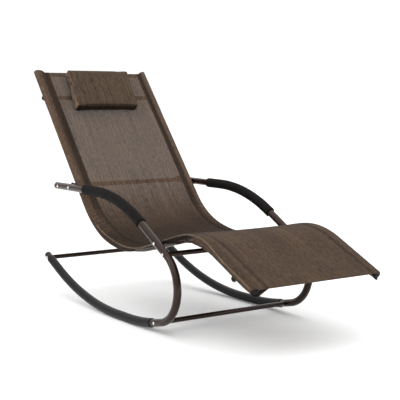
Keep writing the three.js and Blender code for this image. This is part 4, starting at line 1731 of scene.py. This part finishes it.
@dataclass
class HeadPillow:
    """The padded pillow at the head, the flap that carries it and the strips that hold the flap.

    In the pillow's own frame x runs across, y up the back and z off the cloth. Its shape is set by
    how far the crown rises, the sides draw in, and the ends are pulled out and lean.
    """

    shop: Workshop
    layout: Layout
    width: float = 0.301
    height: float = 0.203
    depth: float = 0.041
    offset: float = -0.011
    drop: float = 0.037
    seat: float = 0.0185
    packed_height: float = 0.194
    corner: float = 0.005
    crown: float = 0.007
    draw_in: float = 0.006
    end_pull: float = 0.003
    lean: float = 0.0085
    voxel: float = 0.004
    pressure: float = 1.6
    swell: float = 0.006
    frames: int = 10
    fill: float = 0.7
    # Painted shade on the underside and painted light on the end that faces the light.
    facing_fade: Fade = Fade(0.45, 0.4)
    under_shade: float = 0.72
    side_light: float = 0.60
    welt_radius: float = 0.0009
    welt_heights: Pair = (0.0015, 0.002)
    welt_outset: float = 0.004
    welt_squareness: float = 0.2
    welt_probes: int = 280
    welt_points: int = 220
    flap_width: float = 0.236
    flap_tail: float = 0.150
    flap_thickness: float = 0.0012
    flap_front: float = 0.0167
    flap_back: float = 0.0105
    flap_over: float = 0.0012
    flap_front_pitch: float = 0.012
    flap_front_rows: int = 11
    flap_back_pitch: float = 0.010
    flap_columns: int = 24
    strip_length: float = 0.040
    strip_thickness: float = 0.0011
    strip_bevel: float = 0.0004
    cloth: WovenCloth = PILLOW_CLOTH
    trim: WovenCloth = FLAP_CLOTH
    nap: Finish = STRIP_NAP

    def __post_init__(self) -> None:
        """Works out the pillow's own frame and its middle."""
        spot = self.layout.rail().at(0.0)
        turned = Matrix(((1, 0, 0), -spot.ahead, spot.off)).transposed().to_4x4()
        self.frame = Matrix.Translation(spot.place(0)) @ turned
        self.middle = Vector((self.offset, -self.drop - self.packed_height / 2, 0))

    def build(self) -> None:
        """Makes the pillow, its welts, its flap and both strips."""
        pillow = self.build_pillow()
        self.build_welts(pillow)
        self.build_flap()
        self.build_strip("hook_strip", "hook_tape", Body.PILLOW)
        self.build_strip("loop_strip", "loop_tape", Body.FRAME)

    def placed(self, bm: BMesh) -> None:
        """Moves a mesh from the pillow's own frame to its place on the chair."""
        bmesh.ops.transform(bm, matrix=self.frame, verts=bm.verts[:])

    def build_pillow(self) -> bpy.types.Object:
        """The filled pillow, swelled by a cloth simulation from a rounded block."""
        bm = bmesh.new()
        size = Matrix.Diagonal((self.width, self.height, self.depth, 1))
        place = Matrix.Translation(self.middle + Vector((0, 0, self.seat + self.depth / 2)))
        bmesh.ops.create_cube(bm, size=1.0, matrix=place @ size)
        bmesh.ops.bevel(bm, geom=bm.edges[:], offset=self.corner, affect="EDGES", segments=3, profile=0.5,
                        material=-1)
        self.placed(bm)
        made = self.shop.piece("pillow_cushion", bm, self.cloth, ["pillow"], Body.PILLOW, sharp=180)
        remesh(made, self.voxel)
        self.crown_front(made)
        inflate(made, self.pressure, self.frames, self.swell, self.frame)
        self.paint_shading(made)
        soft = made.modifiers.new("smooth", "SUBSURF")
        soft.levels = soft.render_levels = 1
        return made

    def paint_shading(self, made: bpy.types.Object) -> None:
        """Paints shade on the pillow's underside and paints light on the end that faces the light.

        Args:
            made: The pillow.
        """
        shade = made.data.attributes.new("shade", "FLOAT", "POINT")
        turned = self.frame.inverted().to_3x3()
        for vert in made.data.vertices:
            facing = turned @ vert.normal
            under, lit = (self.facing_fade.at(-side) for side in (facing.y, facing.x))
            shade.data[vert.index].value = 1 - self.under_shade * under + self.side_light * lit

    def crown_front(self, made: bpy.types.Object) -> None:
        """Raises the middle of the front, draws the sides in and leans the ends.

        Args:
            made: The pillow as an even block.
        """
        inverse = self.frame.inverted()
        for vert in made.data.vertices:
            place = inverse @ vert.co
            u = (place.x - self.middle.x) / (self.width / 2)
            v = (place.y - self.middle.y) / (self.height / 2)
            rise = (place.z - self.seat) / self.depth
            place.z += self.crown * max(0.0, 1 - u ** 4) * max(0.0, 1 - v ** 4) * rise
            place.x -= self.draw_in / 2 * u * max(0.0, 1 - v * v)
            place.x += u * abs(u) * self.end_pull + u * u * self.lean * v
            place.y -= self.draw_in / 2 * v * max(0.0, 1 - u * u)
            vert.co = self.frame @ place

    def build_welts(self, pillow: bpy.types.Object) -> None:
        """The sewn seams round the front and the back of the pillow's edge.

        Args:
            pillow: The filled pillow, which the seams lie on.
        """
        surface = BVHTree.FromObject(pillow, bpy.context.evaluated_depsgraph_get())
        reach = (self.width / 2 + self.welt_outset, self.height / 2 + self.welt_outset)
        heights = {"front": self.depth - self.welt_heights[0], "back": self.welt_heights[1]}
        for name, height in heights.items():
            points = []
            for step in range(self.welt_probes):
                angle = math.tau * step / self.welt_probes
                across, up = (size * math.copysign(abs(part) ** self.welt_squareness, part)
                              for size, part in zip(reach, (math.cos(angle), math.sin(angle))))
                target = self.middle + Vector((across, up, self.seat + height))
                points.append(surface.find_nearest(self.frame @ target)[0])
            bm = bmesh.new()
            cord(bm, evened(points, self.welt_points), self.welt_radius, 6)
            self.shop.piece(f"pillow_welt_{name}", bm, self.trim, (), Body.PILLOW, sharp=80)

    def build_flap(self) -> None:
        """The cloth that runs behind the pillow, over the sling's top edge and down its back."""
        middle, radius = (self.flap_front + self.flap_back) / 2, (self.flap_front - self.flap_back) / 2
        start = -self.drop - self.packed_height / 2
        profile = [(start + self.flap_front_pitch * row, self.flap_front)
                   for row in range(self.flap_front_rows)]
        profile += [(self.flap_over * math.sin(angle), middle + radius * math.cos(angle))
                    for angle in (math.pi * step / 8 for step in range(9))]
        rows = int(self.flap_tail / self.flap_back_pitch + 0.5)
        profile += [(-self.flap_back_pitch * row, self.flap_back) for row in range(1, rows + 1)]
        bm = bmesh.new()
        ring = line(bm, [(-self.flap_width / 2, y, z) for y, z in profile], closed=False)
        sweep(bm, ring, shifts(self.flap_width, self.flap_columns))
        self.placed(bm)
        made = self.shop.piece("pillow_strap", bm, self.trim, ["pillow_flap"], Body.PILLOW, sharp=180)
        thicken(made, self.flap_thickness)

    def build_strip(self, node: str, name: str, body: Body) -> None:
        """A fastening strip with rounded edges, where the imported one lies.

        Args:
            node: Packed strip.
            name: Name of the piece.
            body: Body that it rides on.
        """
        low, high, middle = span(node)
        size = Matrix.Diagonal((high.x - low.x, self.strip_length, self.strip_thickness, 1))
        place = Matrix.Translation(self.frame.inverted() @ middle)
        bm = bmesh.new()
        bmesh.ops.create_cube(bm, size=1.0, matrix=place @ size)
        bmesh.ops.bevel(bm, geom=bm.edges[:], offset=self.strip_bevel, affect="EDGES", segments=2,
                        profile=0.5, material=-1)
        self.placed(bm)
        self.shop.piece(name, bm, self.nap, [node], body)


def evened(points: Sequence[Vector], count: int) -> list[Vector]:
    """Points spread evenly along a closed line.

    Args:
        points: The line.
        count: How many points to give.

    Returns:
        The points.
    """
    loop = [*points, points[0]]
    reach = [0.0]
    for a, b in zip(loop, loop[1:]):
        reach.append(reach[-1] + (b - a).length)
    found, index = [], 0
    for step in range(count):
        target = reach[-1] * step / count
        while reach[index + 1] < target:
            index += 1
        gap = reach[index + 1] - reach[index]
        share = (target - reach[index]) / gap if gap > 1e-9 else 0.0
        found.append(loop[index].lerp(loop[index + 1], share))
    return found


def remesh(made: bpy.types.Object, voxel: float) -> None:
    """Gives a closed piece an even mesh.

    Args:
        made: The piece.
        voxel: Size of its facets.
    """
    even = made.modifiers.new("even", "REMESH")
    even.mode = "VOXEL"
    even.voxel_size = voxel
    even.use_smooth_shade = True
    bake(made)


def bake(made: bpy.types.Object) -> None:
    """Applies a piece's modifiers to its mesh."""
    graph = bpy.context.evaluated_depsgraph_get()
    mesh = bpy.data.meshes.new_from_object(made.evaluated_get(graph), depsgraph=graph)
    old, made.data = made.data, mesh
    made.modifiers.clear()
    mesh.name = old.name
    mesh.shade_smooth()


def inflate(made: bpy.types.Object, pressure: float, frames: int, cap: float, frame: Matrix) -> None:
    """Swells a cushion with a cloth simulation, and keeps its back flat on what it lies on.

    Args:
        made: The cushion.
        pressure: Pressure inside it.
        frames: Frames to run.
        cap: Furthest that a point may move.
        frame: The cushion's own frame, whose z leads off what it lies on.
    """
    start = [vert.co.copy() for vert in made.data.vertices]
    cloth = made.modifiers.new("cloth", "CLOTH")
    cloth.settings.use_pressure = True
    cloth.settings.uniform_pressure_force = pressure
    cloth.settings.effector_weights.gravity = 0.0
    cloth.settings.quality = 6
    cloth.point_cache.frame_start = 1
    cloth.point_cache.frame_end = frames
    scene = bpy.context.scene
    for step in range(1, frames + 1):
        scene.frame_set(step)
    bake(made)
    scene.frame_set(1)
    inverse = frame.inverted()
    lowest = min((inverse @ point).z for point in start)
    for vert, before in zip(made.data.vertices, start):
        moved = vert.co - before
        if moved.length > cap:
            moved = moved.normalized() * cap
        place = inverse @ (before + moved)
        place.z = max(place.z, lowest)
        vert.co = frame @ place


@dataclass(frozen=True)
class SoftBox:
    """A light with an even face: where it stands, what it faces, its face's size and its watts."""

    name: str
    place: tuple[float, float, float]
    target: tuple[float, float, float]
    size: Pair
    power: float

    def build(self) -> None:
        """Makes the light and turns it to its target."""
        data = bpy.data.lights.new(self.name, "AREA")
        data.shape = "RECTANGLE"
        data.size, data.size_y = self.size
        data.energy = self.power
        light = bpy.data.objects.new(self.name, data)
        light.matrix_world = aimed(Vector(self.place), Vector(self.place) - Vector(self.target))
        bpy.context.scene.collection.objects.link(light)


@dataclass
class Studio:
    """The pale floor, the soft lights and the camera."""

    location: tuple[float, float, float] = (-2.1548, -3.2043, 0.8488)
    forward: tuple[float, float, float] = (0.56577, 0.81805, -0.10342)
    up: tuple[float, float, float] = (0.05879, 0.08508, 0.99464)
    lens: float = 87.73
    sensor: float = 36.0
    sight: float = 100.0
    floor_reach: float = 60.0
    floor_tone: float = 0.94
    floor_rough: float = 0.9
    floor_glow: float = 0.08
    horizon: float = 0.55
    zenith: float = 1.7
    backdrop: float = 1.05
    boxes: tuple[SoftBox, ...] = (SoftBox("key", (-2.6, -1.5, 3.0), (0, 0, 0.3), (3.0, 3.0), 30),
                                  SoftBox("left_strip", (-3.2, 0.6, 1.5), (0, 0, 0.4), (0.4, 2.6), 20),
                                  SoftBox("front_strip", (1.9, -3.2, 1.4), (0, 0, 0.3), (0.4, 2.2), 8))

    def build(self) -> None:
        """Sets the stage."""
        bpy.context.scene.view_settings.view_transform = "Standard"
        self.build_floor()
        self.build_surround()
        for box in self.boxes:
            box.build()
        self.build_camera()

    def build_floor(self) -> None:
        """A plain white floor."""
        bm = bmesh.new()
        bmesh.ops.create_grid(bm, x_segments=1, y_segments=1, size=self.floor_reach)
        mesh = bpy.data.meshes.new("studio_floor")
        bm.to_mesh(mesh)
        bm.free()
        floor = bpy.data.objects.new("studio_floor", mesh)
        bpy.context.scene.collection.objects.link(floor)
        tone = self.floor_tone
        shader = Shader("studio_floor")
        mesh.materials.append(shader.finish(Base_Color=(tone, tone, tone, 1), Roughness=self.floor_rough,
                                            Emission_Color=(1, 1, 1, 1), Emission_Strength=self.floor_glow))

    def build_surround(self) -> None:
        """A white surround that is brighter overhead, and even where it is seen."""
        world = bpy.data.worlds.new("studio")
        world.use_nodes = True
        tree = world.node_tree
        back = tree.nodes["Background"]
        back.inputs["Color"].default_value = (1, 1, 1, 1)
        place = tree.nodes.new("ShaderNodeTexCoord")
        split = tree.nodes.new("ShaderNodeSeparateXYZ")
        rise = tree.nodes.new("ShaderNodeMapRange")
        ends = {"From Min": 0.0, "From Max": 1.0, "To Min": self.horizon, "To Max": self.zenith}
        for name, value in ends.items():
            rise.inputs[name].default_value = value
        seen = tree.nodes.new("ShaderNodeLightPath")
        pick = tree.nodes.new("ShaderNodeMix")
        pick.inputs["B"].default_value = self.backdrop
        tree.links.new(place.outputs["Generated"], split.inputs[0])
        tree.links.new(split.outputs["Z"], rise.inputs["Value"])
        tree.links.new(seen.outputs["Is Camera Ray"], pick.inputs["Factor"])
        tree.links.new(rise.outputs["Result"], pick.inputs["A"])
        tree.links.new(pick.outputs["Result"], back.inputs["Strength"])
        bpy.context.scene.world = world

    def build_camera(self) -> None:
        """The camera at the photograph's viewing angle."""
        data = bpy.data.cameras.new("camera")
        data.sensor_width = self.sensor
        data.lens = self.lens
        data.clip_end = self.sight
        camera = bpy.data.objects.new("camera", data)
        ahead = Vector(self.forward).normalized()
        right = ahead.cross(Vector(self.up)).normalized()
        turned = Matrix((right, right.cross(ahead), -ahead)).transposed().to_4x4()
        camera.matrix_world = Matrix.Translation(self.location) @ turned
        bpy.context.scene.collection.objects.link(camera)
        bpy.context.scene.camera = camera


def main() -> None:
    """Builds the chair and its stage."""
    logging.basicConfig(level=logging.INFO, format="%(name)s %(message)s")
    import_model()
    shop, layout = Workshop(), Layout()
    Studio().build()
    for side in Side:
        SideFrame(shop, layout, side).build()
    Crossbars(shop).build()
    Fasteners(shop, layout).build()
    Sling(shop, layout).build()
    HeadPillow(shop, layout).build()
    log.info("%d pieces", len(shop.pieces))


if __name__ == "__main__":
    main()
